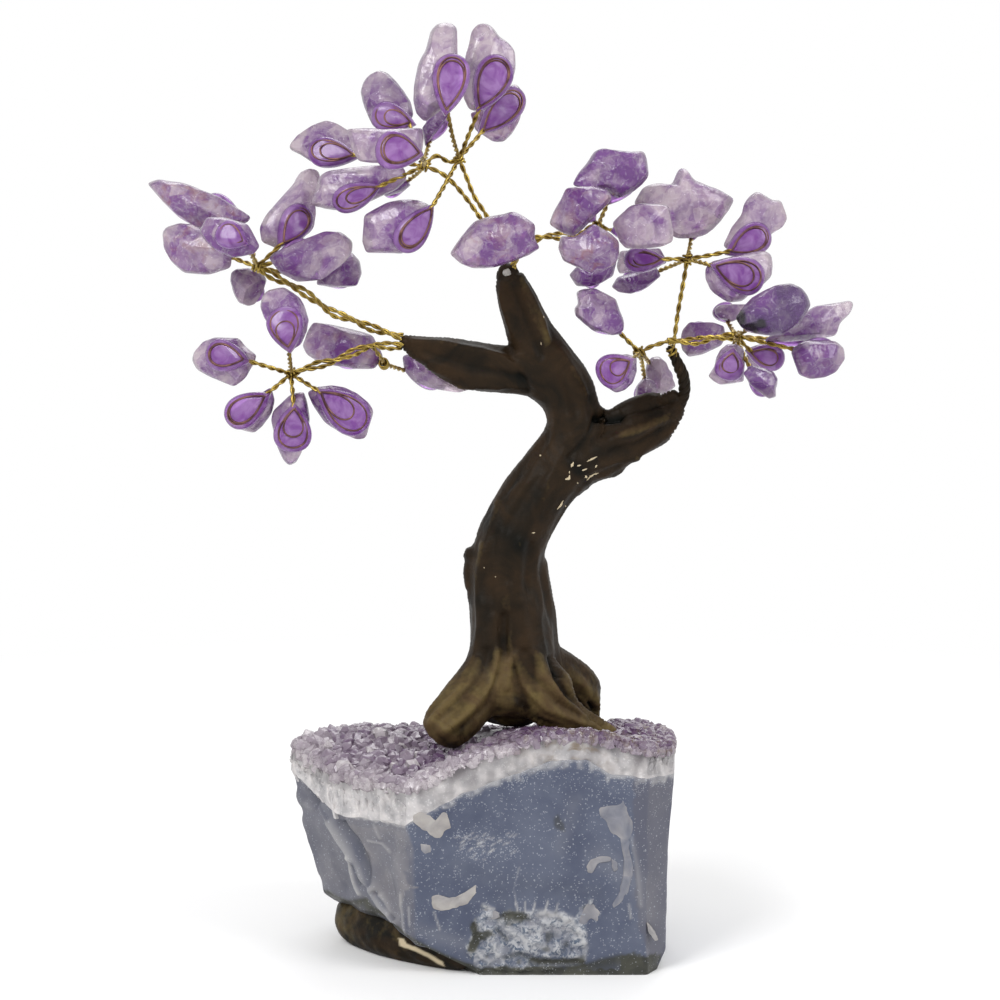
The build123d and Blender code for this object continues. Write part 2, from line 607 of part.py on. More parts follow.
cap_share = 0.62  # of a stone's outline, left as the flat of its face
stem_seat_share = 0.3  # how far a stem runs into its drop, of the pair's diameter
parting_share = 1.2  # bulge where the two wires part into a loop, of the pair's diameter
parting_length_share = 1.15
apart_share = 0.56  # from the stem's line to each wire as they part, of one wire's diameter
leg_start_share = 0.17  # from the bulge's middle to the start of the loop, of the pair's diameter
knot_seat_share = 0.5  # from a knot's middle to the start of a stem, of the knot's radius
knot_length_share = 0.9  # of its diameter


def leaf_normal(leaf):
    """The way the stone's face looks: to the viewer, nodded up and swung to the right."""
    nod, swing = view_rise + math.radians(leaf.nod_deg), math.radians(leaf.swing_deg)
    return Vector(
        math.cos(nod) * math.sin(swing), -math.cos(nod) * math.cos(swing), math.sin(nod)
    )


def leaf_middle(leaf):
    px = sum(x for x, y in leaf.outline_px) / len(leaf.outline_px)
    py = sum(y for x, y in leaf.outline_px) / len(leaf.outline_px)
    return seen_at(px, py, leaf.depth_share)


def make_stone(leaf):
    """A chunk whose outline is the one in the picture, bevelled to a flat face in front and behind."""
    normal, middle = leaf_normal(leaf), leaf_middle(leaf)
    rise = normal * (stone_thickness * leaf.thick_share / 2)
    ring = [seen_on(x, y, middle, normal) for x, y in leaf.outline_px]
    front = [between(middle, p, cap_share) + rise for p in ring]
    back = [between(middle, p, cap_share) - rise for p in ring]
    faces = [flat_face(front), flat_face(back)]
    for i in range(len(ring)):
        faces.append(flat_face([ring[i - 1], ring[i], front[i], front[i - 1]]))
        faces.append(flat_face([ring[i - 1], ring[i], back[i], back[i - 1]]))
    return closed_solid(faces)


def drop_plane(leaf):
    """On the stone's flat, at the stem's way in, with X to the loop's far end. Gives the run between them too."""
    outward = leaf_normal(leaf) * leaf.side
    flat = leaf_middle(leaf) + outward * (stone_thickness * leaf.thick_share / 2)
    entry = seen_on(*leaf.loop_px[0], flat, outward)
    far = seen_on(*leaf.loop_px[1], flat, outward)
    return Plane(origin=entry, x_dir=far - entry, z_dir=outward), (far - entry).length


def teardrop(run, narrow, wide, closed):
    """Outline from a narrow end at the origin to a wide round end at the far end of the run."""
    reach = run - wide
    slope = math.asin((wide - narrow) / reach)
    ahead, across = -math.sin(slope), math.cos(slope)
    near_up, far_up = (narrow * ahead, narrow * across), (reach + wide * ahead, wide * across)
    near_low, far_low = (near_up[0], -near_up[1]), (far_up[0], -far_up[1])
    edges = [Line(near_low, far_low), ThreePointArc(far_low, (run, 0), far_up), Line(far_up, near_up)]
    if closed:
        edges.append(ThreePointArc(near_up, (-narrow, 0), near_low))
    return Wire(edges)


def loop_radius(leaf, run):
    return min(loop_width * leaf.loop_share / 2, run / 2 - wire_diameter)


def make_drop(leaf):
    """The resin drop that glues the wire loop to the stone."""
    plane, run = drop_plane(leaf)
    wide = loop_radius(leaf, run) + drop_margin
    outline = teardrop(run + drop_margin, pair_diameter, wide, True)
    drop = extrude(plane * make_face(outline), drop_thickness, dir=plane.z_dir)
    top = max(drop.faces(), key=lambda face: face.center().dot(plane.z_dir))
    return fillet(top.edges(), drop_round)


def make_leaf_wire(leaf, hub):
    """One wire: its loop lies in the drop, and its two ends run to the knot as a twisted stem."""
    plane, run = drop_plane(leaf)
    seat = stem_seat_share * pair_diameter
    seat_and_leg = seat + leg_start_share * pair_diameter
    line = teardrop(run - seat_and_leg, apart_share * wire_diameter, loop_radius(leaf, run), False)
    line = plane * Location((seat_and_leg, 0, drop_thickness / 2)) * line
    start = Plane(origin=line @ 0, z_dir=line % 0)
    loop = sweep(start * Circle(wire_diameter / 2), path=line)
    parting = plane.from_local_coords((seat, 0, drop_thickness / 2))
    start = hub + (parting - hub).normalized() * (knot_seat_share * knot_diameter / 2)
    stem = tube([start, parting], pair_diameter)
    bulge_diameter = parting_share * pair_diameter
    bulge = collar(parting, plane.x_dir, bulge_diameter, parting_length_share * pair_diameter)
    return stem.fuse(bulge).fuse(loop)


def knot_place(bough, name, which):
    """A knot's middle, and the point of its route before it."""
    route, point = knots[name][which]
    return seen_at(*bough.routes_px[route][point]), seen_at(*bough.routes_px[route][point - 1])


def make_bundle(bough, name):
    """The twisted bundle from the bend to the knots."""
    girth = pair_diameter * bough.girth_share
    bundle = None
    for route in bough.routes_px:
        points = [seen_at(*place) for place in route]
        if bundle is None:
            bundle = tube(points, girth)
        else:
            bundle = bundle.fuse(tube(points, pair_diameter))
    for which in range(len(knots[name])):
        place, before = knot_place(bough, name, which)
        length = knot_length_share * knot_diameter
        bundle = bundle.fuse(collar(place, place - before, knot_diameter, length))
    return bundle


def make_armature():
    """The wire core: up the trunk, down the roots, out through the limbs, with a stub for each bough."""
    trunk_line = along(trunk_stations)
    crown_of_roots, fork, top = trunk_line[3], trunk_line[-2], trunk_line[-1]
    core = tube(trunk_line[1:], core_diameter)
    for start, stations in (
        (top, centre_limb_stations[1:]),
        (top, left_limb_stations),
        (fork, right_limb_stations[:-1]),
    ):
        core = core.fuse(tube([start] + along(stations), limb_core_diameter))
    for stations in (left_root_stations, right_root_stations, rear_root_stations):
        core = core.fuse(tube([crown_of_roots] + along(stations[1:-1]), root_core_diameter))
    return core


def stub(root, bough):
    """A fixed end of wire that points along the bough, and stops short of the place where the bough bends."""
    bend, beyond = (seen_at(*place) for place in bough.routes_px[0][:2])
    girth = pair_diameter * bough.girth_share
    run = (beyond - bend).normalized()
    end = bend - run * bend_gap
    return tube([root, end - run * (stub_lead_share * girth), end], girth)


def write(shape, node):
    solids = list(shape) if isinstance(shape, (list, tuple)) else [shape]
    flat = [solid for one in solids for solid in one.solids()]
    export_step(flat[0] if len(flat) == 1 else Compound(flat), f"parts/{node}.step")
    return flat


def main():
    agate, quartz = make_agate(), make_quartz()
    bed = make_crystal_bed(quartz)
    write(agate, "base_agate")
    write(quartz, "base_quartz_band")
    write(bed, "base_amethyst_crystals")
    write(make_foot(agate), "levelling_foot")

    armature = make_armature() - bed
    roots = [limb(s) for s in (left_root_stations, right_root_stations, rear_root_stations)]
    trunk = limb(trunk_stations).fuse(*roots)
    left_limb = limb(left_limb_stations)
    centre_limb = limb(centre_limb_stations)
    right_limb = limb(right_limb_stations)
    spur_line = [seen_at(*place) for place in spur_route_px]
    spur = tube(spur_line, spur_diameter)
    ends = {
        "left": along(left_limb_stations)[-2:],
        "crown": along(centre_limb_stations)[-2:],
        "middle": along(centre_limb_stations)[-2:],
        "right": spur_line[-2:],
    }
    for name, bough in boughs.items():
        before, tip = ends[name.split("_")[0]]
        root = between(tip, before, stub_seat_share)
        if name.startswith("right"):
            spur = spur.fuse(stub(root, bough))
        else:
            armature = armature.fuse(stub(root, bough))
    centre_limb = centre_limb - trunk
    left_limb = left_limb - trunk - centre_limb
    right_limb = right_limb - trunk - centre_limb
    spur = spur - right_limb
    write(trunk - bed - armature, "trunk")
    write(left_limb - armature, "left_limb")
    write(centre_limb - armature, "centre_limb")
    write(right_limb - armature, "right_limb")
    write(spur, "right_spur")
    write(armature, "wire_core")

    for name, bough in boughs.items():
        wires = make_bundle(bough, name)
        drops, stones = [], {}
        for leaf in bough.leaves:
            wires = wires.fuse(make_leaf_wire(leaf, knot_place(bough, name, leaf.hub)[0]))
        for leaf in bough.leaves:
            drops.append(make_drop(leaf) - wires)
            stones.setdefault(leaf.node, []).append(make_stone(leaf) - wires)
        write(wires, f"{name}_wires")
        write(drops, f"{name}_resin_drops")
        for node, group in stones.items():
            write(group, f"{name}_{node}")
        print(name, "bend at", seen_at(*bough.routes_px[0][0]))


if __name__ == "__main__":
    main()
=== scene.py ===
import bpy
import math
import numpy as np
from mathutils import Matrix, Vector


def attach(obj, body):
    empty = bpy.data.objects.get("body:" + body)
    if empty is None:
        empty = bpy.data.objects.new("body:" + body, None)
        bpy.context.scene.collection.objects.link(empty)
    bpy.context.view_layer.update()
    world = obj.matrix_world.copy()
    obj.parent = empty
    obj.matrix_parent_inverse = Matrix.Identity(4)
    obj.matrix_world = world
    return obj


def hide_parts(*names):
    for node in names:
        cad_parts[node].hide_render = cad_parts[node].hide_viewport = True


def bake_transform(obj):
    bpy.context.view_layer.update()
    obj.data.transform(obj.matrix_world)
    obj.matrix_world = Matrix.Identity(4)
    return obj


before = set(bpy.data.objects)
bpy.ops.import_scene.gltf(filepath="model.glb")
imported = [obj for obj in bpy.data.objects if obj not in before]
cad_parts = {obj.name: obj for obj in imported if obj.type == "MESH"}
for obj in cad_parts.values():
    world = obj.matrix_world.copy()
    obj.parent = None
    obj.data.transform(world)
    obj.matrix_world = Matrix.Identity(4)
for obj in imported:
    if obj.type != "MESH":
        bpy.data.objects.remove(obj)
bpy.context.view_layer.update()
print("frame loaded:", len(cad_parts), "CAD nodes")

# Where the picture was taken from. A pixel and a depth then give a place on the tree.
shot = {
    "distance": 0.9,
    "aimHeight": 0.089933,
    "rise": 10.0,
    "lens": 162.0,
    "sensor": 36.0,
    "pictureSize": 1000,
    "canopyDepth": 0.060,  # a depth of 1 in the tables below
}
rise = math.radians(shot["rise"])
looking = np.array([0, math.cos(rise), -math.sin(rise)])
rising = np.array([0, math.sin(rise), math.cos(rise)])
across = np.array([1.0, 0, 0])
backward = np.array([0, 1.0, 0])
eye = np.array([0, 0, shot["aimHeight"]]) - looking * shot["distance"]
focal = shot["lens"] / shot["sensor"] * shot["pictureSize"]
middlePixel = shot["pictureSize"] / 2


# the ray through a pixel: forward, plus the pixel's distance from the middle over the focal length
def sightRays(pixels):
    steps = (np.asarray(pixels, float)[..., :2] - middlePixel) / focal
    return looking + steps[..., :1] * across - steps[..., 1:2] * rising


# the point of each ray at its depth, for rows of (px, py, depth share)
def placesAt(rows):
    rows = np.asarray(rows, float)
    rays = sightRays(rows)
    return eye + rays * ((rows[..., 2:3] * shot["canopyDepth"] - eye[1]) / rays[..., 1:2])


# the point of each ray on the plane through a place
def placesOn(pixels, place, normal):
    rays = sightRays(pixels)
    return eye + rays * (((place - eye) @ normal) / (rays @ normal))[..., None]


# the pixel at which each point shows
def pixelsOf(points):
    steps = points - eye
    away = steps @ looking
    return np.stack([middlePixel + focal * (steps @ across) / away,
                     middlePixel - focal * (steps @ rising) / away], -1)


# Shared surface tools

# the tables hold lines and outlines as flat rows of pixels: x,y, x,y and so on
def pairsOf(pixels):
    return np.reshape(pixels, (-1, 2)).astype(float)


# the length run along a line at each of its points
def runOf(line):
    return np.concatenate([[0], np.cumsum(np.linalg.norm(np.diff(line, axis=0), axis=1))])


# even angles round a circle
def turns(count):
    return np.linspace(0, 2 * math.pi, count, endpoint=False)


noiseTable = np.random.default_rng(11).random(4096) * 2 - 1


def latticeKey(cell):
    return (cell[:, 0] * 73856093 ^ cell[:, 1] * 19349663 ^ cell[:, 2] * 83492791) & 4095


# value noise from -1 to 1: the eight corners of a point's cell, mixed by its eased place in the cell
def lumps(points, size, seed=0):
    places = points.reshape(-1, 3) / size + seed * 17.31
    cell = np.floor(places).astype(np.int64)
    part = places - cell
    part = part * part * (3 - 2 * part)
    total = np.zeros(len(places))
    for corner in np.ndindex(2, 2, 2):
        share = np.prod(np.where(corner, part, 1 - part), axis=1)
        total += share * noiseTable[latticeKey(cell + corner)]
    return total.reshape(points.shape[:-1])


# distance to the nearest of jittered lattice points, and how much further the second nearest is, in cells
def grains(points, size, seed=0):
    places = points.reshape(-1, 3) / size + seed * 9.7
    cell = np.floor(places).astype(np.int64)
    nearest = np.full(len(places), 9.0)
    second = nearest.copy()
    for corner in np.ndindex(3, 3, 3):
        home = cell + np.array(corner) - 1
        key = latticeKey(home)
        jitter = np.stack([noiseTable[key], noiseTable[(key + 1371) & 4095], noiseTable[(key + 2718) & 4095]], -1)
        away = np.linalg.norm(home + 0.5 + jitter * 0.42 - places, axis=1)
        second = np.minimum(second, np.maximum(away, nearest))
        nearest = np.minimum(nearest, away)
    shape = points.shape[:-1]
    return nearest.reshape(shape), (second - nearest).reshape(shape)


# 0 below low, 1 above high, eased between
def eased(values, low, high):
    part = np.clip((values - low) / (high - low), 0, 1)
    return part * part * (3 - 2 * part)


def unit(vectors):
    return vectors / np.linalg.norm(vectors, axis=-1, keepdims=True)


# quads between rows of a grid that closes on itself, with a fan to a pole at each end.
# The two poles are the last two points.
def closedGrid(rows, columns):
    row = np.arange(rows - 1)[:, None] * columns
    here = np.arange(columns)
    beside = (here + 1) % columns
    quads = np.stack([row + here, row + beside, row + columns + beside, row + columns + here], -1).reshape(-1, 4)
    first, last, top = rows * columns, rows * columns + 1, (rows - 1) * columns
    start = np.stack([np.full(columns, first), beside, here], -1)
    end = np.stack([np.full(columns, last), top + here, top + beside], -1)
    return quads, np.concatenate([start, end])


# volume by the sum of tetrahedra from the origin: negative where the faces point inwards
def turnedOut(shell):
    points, quads, tris = shell[:3]
    parts = np.concatenate([quads[:, [0, 1, 2]], quads[:, [0, 2, 3]], tris])
    a, b, c = (points[parts[:, k]] - points.mean(0) for k in range(3))
    if np.einsum("ij,ij->i", a, np.cross(b, c)).sum() < 0:
        quads, tris = quads[:, ::-1], tris[:, ::-1]
    return (points, quads, tris) + tuple(shell[3:])


# several closed shells as one; each is (points, quads, tris, values)
def joined(shells):
    shift = np.cumsum([0] + [len(s[0]) for s in shells])
    quads = [s[1] + k for s, k in zip(shells, shift)]
    tris = [s[2] + k for s, k in zip(shells, shift)]
    values = {}
    if len(shells[0]) > 3:
        values = {key: np.concatenate([s[3][key] for s in shells]) for key in shells[0][3]}
    return np.concatenate([s[0] for s in shells]), np.concatenate(quads), np.concatenate(tris), values


# a shell with values for its points, each one number or one for each point
def withValues(shell, **values):
    return shell + ({key: np.broadcast_to(value, len(shell[0])) for key, value in values.items()},)


# sharpAbove: edges that turn more than this many degrees stay crisp
def buildPiece(name, shell, material, smooth=True, sharpAbove=None):
    points, quads, tris = shell[:3]
    mesh = bpy.data.meshes.new(name)
    mesh.from_pydata(points.tolist(), [], quads.tolist() + tris.tolist())
    mesh.polygons.foreach_set("use_smooth", [smooth] * len(mesh.polygons))
    for key, value in (shell[3] if len(shell) > 3 else {}).items():
        mesh.attributes.new(key, "FLOAT", "POINT").data.foreach_set("value", np.asarray(value, np.float32))
    mesh.materials.append(material)
    mesh.update()
    if sharpAbove:
        mesh.set_sharp_from_angle(angle=math.radians(sharpAbove))
    piece = bpy.data.objects.new(name, mesh)
    bpy.context.scene.collection.objects.link(piece)
    return piece


# a curve through the points: each span is the Catmull-Rom cubic of its four nearest points, then evenly spaced
def smoothLine(points, spacing):
    points = np.asarray(points, float)
    padded = np.concatenate([2 * points[:1] - points[1:2], points, 2 * points[-1:] - points[-2:-1]])
    t = np.linspace(0, 1, 24, endpoint=False)[None, :, None]
    a, b, c, d = (padded[k:len(padded) - 3 + k][:, None] for k in range(4))
    line = 0.5 * (2 * b + (c - a) * t + (2 * a - 5 * b + 4 * c - d) * t**2 + (3 * b - a - 3 * c + d) * t**3)
    return evenly(np.concatenate([line.reshape(-1, points.shape[1]), points[-1:]]), spacing)


def evenly(line, spacing):
    run = runOf(line)
    count = max(int(math.ceil(run[-1] / spacing)) + 1, 4)
    at = np.linspace(0, run[-1], count)
    return np.stack([np.interp(at, run, line[:, k]) for k in range(line.shape[1])], -1)


# the axis that the line runs along least, as a steady guide for its rings
def guideOf(line):
    return np.eye(3)[np.argmin(np.abs(line[-1] - line[0]))]


# ahead, side and over at each point of a line: side is square to the guide, over to both
def stanceOf(line, guide):
    ahead = unit(np.gradient(line, axis=0))
    side = unit(np.cross(guide, ahead))
    return ahead, side, np.cross(ahead, side)


# a round tube: a ring of the radius square to the line at each of its points, closed by a low cone at each end
def tubeShell(line, radius, sides, guide):
    ahead, side, over = stanceOf(line, guide)
    radius = np.broadcast_to(radius, len(line))[:, None, None]
    turn = turns(sides)[None, :, None]
    rings = line[:, None] + radius * (np.cos(turn) * side[:, None] + np.sin(turn) * over[:, None])
    poles = [line[0] - ahead[0] * radius[0, 0] * 0.5, line[-1] + ahead[-1] * radius[-1, 0] * 0.5]
    quads, tris = closedGrid(len(line), sides)
    return np.concatenate([rings.reshape(-1, 3), poles]), quads, tris


# each strand winds round the line: apart * (cos(angle) side + sin(angle) over), a turn every pitch
def strandLines(line, count, apart, pitch, guide, start=0.0):
    ahead, side, over = stanceOf(line, guide)
    run = runOf(line)
    found = []
    for k in range(count):
        angle = (2 * math.pi * (run / pitch + k / count) + start)[:, None]
        found.append(line + apart * (np.cos(angle) * side + np.sin(angle) * over))
    return found


# Material tools

def feed(tree, socket, value):
    if isinstance(value, bpy.types.NodeSocket):
        tree.links.new(value, socket)
    else:
        socket.default_value = (*value, 1)[:4] if socket.type == "RGBA" else value


def put(tree, kind, sockets=None, **settings):
    node = tree.nodes.new(kind)
    for key, value in settings.items():
        setattr(node, key, value)
    for key, value in (sockets or {}).items():
        feed(tree, node.inputs[key], value)
    return node


def newMaterial(name, **plain):
    material = bpy.data.materials.new(name)
    material.use_nodes = True
    shader = material.node_tree.nodes["Principled BSDF"]
    for key, value in plain.items():
        shader.inputs[key.replace("_", " ")].default_value = value
    return material, material.node_tree, shader.inputs


# a node group, its inputs and outputs, and object coordinates to draw its pattern on
def newGroup(name, inputs, outputs):
    group = bpy.data.node_groups.new(name, "ShaderNodeTree")
    for key, value in inputs.items():
        group.interface.new_socket(key, in_out="INPUT", socket_type="NodeSocketFloat").default_value = value
    for key in outputs:
        group.interface.new_socket(key, in_out="OUTPUT", socket_type="NodeSocketFloat")
    place = put(group, "ShaderNodeTexCoord").outputs["Object"]
    return group, group.nodes.new("NodeGroupInput").outputs, group.nodes.new("NodeGroupOutput").inputs, place


# a group in a material, with values for its inputs in their order
def useGroup(tree, group, *values):
    return put(tree, "ShaderNodeGroup", dict(enumerate(values)), node_tree=group).outputs


def mixColour(tree, share, first, second):
    return put(tree, "ShaderNodeMix", {0: share, 6: first, 7: second}, data_type="RGBA").outputs[2]


# coats of colour over a body, each with the share that it covers
def coated(tree, body, *coats):
    for share, colour in coats:
        body = mixColour(tree, share, body, colour)
    return body


def mathNode(tree, operation, *values, clamp=False):
    return put(tree, "ShaderNodeMath", dict(enumerate(values)), operation=operation, use_clamp=clamp).outputs[0]


def times(tree, first, second):
    return mathNode(tree, "MULTIPLY", first, second)


def vectorNode(tree, operation, sockets):
    return put(tree, "ShaderNodeVectorMath", sockets, operation=operation).outputs["Vector"]


def noiseNode(tree, place, scale, detail, twist=0.0):
    return put(tree, "ShaderNodeTexNoise",
               {"Vector": place, "Scale": scale, "Detail": detail, "Distortion": twist}).outputs


def ranged(tree, value, low, high, toLow=0.0, toHigh=1.0):
    return put(tree, "ShaderNodeMapRange", {"Value": value, "From Min": low, "From Max": high,
                                            "To Min": toLow, "To Max": toHigh}).outputs["Result"]


def attributeOf(tree, name):
    return put(tree, "ShaderNodeAttribute", attribute_name=name).outputs["Fac"]


# how much a surface turns away from the eye
def grazingOf(tree, blend):
    return put(tree, "ShaderNodeLayerWeight", {"Blend": blend}).outputs["Facing"]


# the colour, the roughness and the height of the bump, into a material's shader
def setSurface(tree, shader, colour, roughness=None, height=None, strength=0.3, depth=0.0003):
    feed(tree, shader["Base Color"], colour)
    if roughness is not None:
        feed(tree, shader["Roughness"], roughness)
    if height is not None:
        bump = put(tree, "ShaderNodeBump", {"Height": height, "Strength": strength, "Distance": depth})
        feed(tree, shader["Normal"], bump.outputs["Normal"])


# soft clouds and fine grain of one pattern: noise on object coordinates, stretched to a mask, and a height for bump
cloudGroup, given, made, place = newGroup(
    "clouds", {"Scale": 300.0, "Low": 0.35, "High": 0.65, "Twist": 0.5, "Fine Scale": 1500.0}, ("Mask", "Height"))
broad = noiseNode(cloudGroup, place, given["Scale"], 5.0, given["Twist"])["Fac"]
fine = noiseNode(cloudGroup, place, given["Fine Scale"], 3.0)["Fac"]
feed(cloudGroup, made["Mask"], ranged(cloudGroup, broad, given["Low"], given["High"]))
feed(cloudGroup, made["Height"], mathNode(cloudGroup, "MULTIPLY_ADD", fine, 0.5, broad))

# sparse specks: the near parts of scattered cells
speckGroup, given, made, place = newGroup("specks", {"Scale": 900.0, "Size": 0.2, "Amount": 0.5}, ("Mask",))
drift = noiseNode(speckGroup, place, 2600.0, 2.0)["Color"]
bent = vectorNode(speckGroup, "MULTIPLY_ADD", {0: drift, 1: (0.0005,) * 3, 2: place})
cells = put(speckGroup, "ShaderNodeTexVoronoi", {"Vector": bent, "Scale": given["Scale"]}).outputs
chosen = put(speckGroup, "ShaderNodeSeparateColor", {"Color": cells["Color"]}).outputs
near = mathNode(speckGroup, "LESS_THAN", cells["Distance"], times(speckGroup, chosen["Green"], given["Size"]))
kept = mathNode(speckGroup, "LESS_THAN", chosen["Red"], given["Amount"])
feed(speckGroup, made["Mask"], times(speckGroup, near, kept))

# inner facets: each bent cell has a value of its own, and some of its edges are bright cracks
facetGroup, given, made, place = newGroup(
    "facets", {"Scale": 330.0, "Bend": 0.0012, "Width": 0.035}, ("Tone", "Crack"))
drift = noiseNode(facetGroup, place, 260.0, 3.0)
offset = vectorNode(facetGroup, "SUBTRACT", {0: drift["Color"], 1: (0.5, 0.5, 0.5)})
bent = vectorNode(facetGroup, "SCALE", {0: offset, "Scale": given["Bend"]})
cell = {"Vector": vectorNode(facetGroup, "ADD", {0: place, 1: bent}), "Scale": given["Scale"]}
inner = put(facetGroup, "ShaderNodeTexVoronoi", cell).outputs["Color"]
edge = put(facetGroup, "ShaderNodeTexVoronoi", cell, feature="DISTANCE_TO_EDGE").outputs["Distance"]
feed(facetGroup, made["Tone"], put(facetGroup, "ShaderNodeSeparateColor", {"Color": inner}).outputs["Red"])
thin = mathNode(facetGroup, "LESS_THAN", edge, given["Width"])
some = mathNode(facetGroup, "GREATER_THAN", drift["Fac"], 0.54)
feed(facetGroup, made["Crack"], times(facetGroup, thin, some))

# worn edges and painted highlight: the piece's own wear value, broken up by noise
wearAndHighlightGroup, given, made, place = newGroup("wear", {"Scale": 900.0, "Sharpness": 4.0, "Level": 0.5}, ("Mask",))
broken = noiseNode(wearAndHighlightGroup, place, given["Scale"], 4.0)["Fac"]
wornAndHighlit = mathNode(wearAndHighlightGroup, "MULTIPLY_ADD", broken, 0.5, attributeOf(wearAndHighlightGroup, "wear"))
past = mathNode(wearAndHighlightGroup, "SUBTRACT", wornAndHighlit, given["Level"])
feed(wearAndHighlightGroup, made["Mask"], mathNode(wearAndHighlightGroup, "MULTIPLY", past, given["Sharpness"], clamp=True))
print("shared effects built")

# Finishes. Clouds take scale, low, high, twist and fine scale; specks scale, size and amount; facets scale, bend
# and width; wear and highlight scale, sharpness and level.

def brassFinish(name, bright, dark, roughness):
    material, tree, shader = newMaterial(name, Metallic=1.0, Roughness=roughness)
    tarnish = useGroup(tree, cloudGroup, 420, 0.4, 0.62, 0.5, 4000)
    setSurface(tree, shader, mixColour(tree, tarnish["Mask"], dark, bright),
               ranged(tree, tarnish["Height"], 0.5, 1.0, roughness + 0.12, roughness - 0.06),
               tarnish["Height"], 0.15, 0.0001)
    return material


brassWire = brassFinish("brassWire", (0.46, 0.34, 0.082), (0.22, 0.145, 0.035), 0.28)
loopWire = brassFinish("loopWire", (0.20, 0.105, 0.085), (0.095, 0.045, 0.05), 0.42)

# Rough amethyst: pale lilac quartz that turns violet with the piece's tone, with inner facets, milky veils, cracks,
# stains, smoke, and painted shade: a deeper colour where it is seen edge on
amethyst, tree, shader = newMaterial("amethyst", Roughness=0.2, IOR=1.54, Transmission_Weight=0.45)
patches = useGroup(tree, cloudGroup, 170, 0.34, 0.66, 1.2, 900)
veils = useGroup(tree, cloudGroup, 520, 0.52, 0.68, 2.5, 2500)
rusty = useGroup(tree, cloudGroup, 330, 0.5, 0.66, 1.0, 900)
inner = useGroup(tree, facetGroup, 330, 0.0026, 0.03)
small = useGroup(tree, facetGroup, 780, 0.0014, 0.03)
shift = mathNode(tree, "MULTIPLY_ADD", mathNode(tree, "SUBTRACT", inner["Tone"], 0.5), 0.5,
                 times(tree, mathNode(tree, "SUBTRACT", small["Tone"], 0.5), 0.30))
toneHere = mathNode(tree, "MULTIPLY_ADD", mathNode(tree, "SUBTRACT", patches["Mask"], 0.45), 0.8,
                    attributeOf(tree, "tone"))
body = mixColour(tree, mathNode(tree, "ADD", toneHere, shift, clamp=True), (0.67, 0.56, 0.61), (0.20, 0.065, 0.29))
milky = mathNode(tree, "MAXIMUM", times(tree, veils["Mask"], 0.3), times(tree, inner["Crack"], 0.2))
body = coated(tree, body, (milky, (0.83, 0.77, 0.82)),
              (times(tree, rusty["Mask"], attributeOf(tree, "stain")), (0.33, 0.10, 0.07)),
              (attributeOf(tree, "smoke"), (0.052, 0.030, 0.115)),
              # painted shade: darker violet where the stone is seen edge on
              (times(tree, grazingOf(tree, 0.28), 0.75), (0.17, 0.10, 0.20)),
              (ranged(tree, attributeOf(tree, "smoke"), 0.5, 0.9, 0.0, 0.95), (0.009, 0.007, 0.008)))
setSurface(tree, shader, body, ranged(tree, veils["Height"], 0.5, 1.1, 0.10, 0.32),
           mathNode(tree, "MULTIPLY_ADD", small["Tone"], 0.35, patches["Height"]), 0.3, 0.0006)

# Clear violet glue over the loops, with painted shade: darker where it is seen edge on
violetResin, tree, shader = newMaterial("violetResin", Roughness=0.12, IOR=1.45, Specular_IOR_Level=0.35,
                                        Transmission_Weight=0.6)
swirl = useGroup(tree, cloudGroup, 330, 0.36, 0.64, 0.9, 700)
body = mixColour(tree, swirl["Mask"], (0.32, 0.10, 0.47), (0.57, 0.32, 0.72))
setSurface(tree, shader, mixColour(tree, times(tree, grazingOf(tree, 0.3), 0.55), body, (0.17, 0.06, 0.25)),
           ranged(tree, swirl["Height"], 0.4, 1.0, 0.08, 0.2))


# Painted putty: near-black brown, olive gold dragged over what stands proud and as painted highlight, green-black
# paint and painted shade in the folds, bare chips
def puttyFinish(name, wearLevel):
    material, tree, shader = newMaterial(name, Roughness=0.5, Specular_IOR_Level=0.09)
    patches = useGroup(tree, cloudGroup, 120, 0.38, 0.62, 1.4, 2600)
    wornAndHighlit = useGroup(tree, wearAndHighlightGroup, 900, 1.5, wearLevel)["Mask"]
    streaky = mathNode(tree, "MULTIPLY_ADD", patches["Mask"], 0.5, times(tree, attributeOf(tree, "grain"), 0.5))
    gold = mixColour(tree, patches["Mask"], (0.125, 0.090, 0.034), (0.088, 0.056, 0.026))
    # green-black paint and painted shade in the folds, then gold paint and painted highlight, then bare chips
    body = coated(tree, (0.0065, 0.0056, 0.0038), (streaky, (0.034, 0.0195, 0.0092)),
                  (attributeOf(tree, "fold"), (0.003, 0.0034, 0.0025)), (wornAndHighlit, gold),
                  (attributeOf(tree, "chip"), (0.55, 0.46, 0.31)))
    setSurface(tree, shader, body, ranged(tree, patches["Height"], 0.4, 1.1, 0.36, 0.62),
               patches["Height"], 0.3, 0.0004)
    return material


treeFinish = puttyFinish("paintedPutty", 0.70)
footFinish = puttyFinish("footPutty", 0.72)

# Sawn blue-grey agate: soft patches, pale dust and flecks; broken, purple, ice, shade (pale above 0, dark below),
# rind (with painted shadow along the bottom and over the foot) and dust follow the piece's own values
agateStone, tree, shader = newMaterial("agateStone", Roughness=0.42)
patches = useGroup(tree, cloudGroup, 60, 0.3, 0.7, 0.8, 1900)["Mask"]
mottle = useGroup(tree, cloudGroup, 240, 0.4, 0.75, 0.6, 3000)
crisp = useGroup(tree, cloudGroup, 950, 0.40, 0.56, 1.2, 5000)["Mask"]
dusty = times(tree, useGroup(tree, speckGroup, 3300, 0.5, attributeOf(tree, "dust"))["Mask"], 0.36)
flecks = times(tree, useGroup(tree, speckGroup, 1150, 0.22, 0.10)["Mask"], 0.36)
shade = attributeOf(tree, "shade")
cream = mixColour(tree, mottle["Mask"], (0.215, 0.20, 0.20), (0.38, 0.355, 0.34))
frost = mixColour(tree, crisp, (0.07, 0.095, 0.14), (0.37, 0.375, 0.395))
darkRindAndShadow = mixColour(tree, mottle["Mask"], (0.016, 0.017, 0.012), (0.055, 0.055, 0.038))
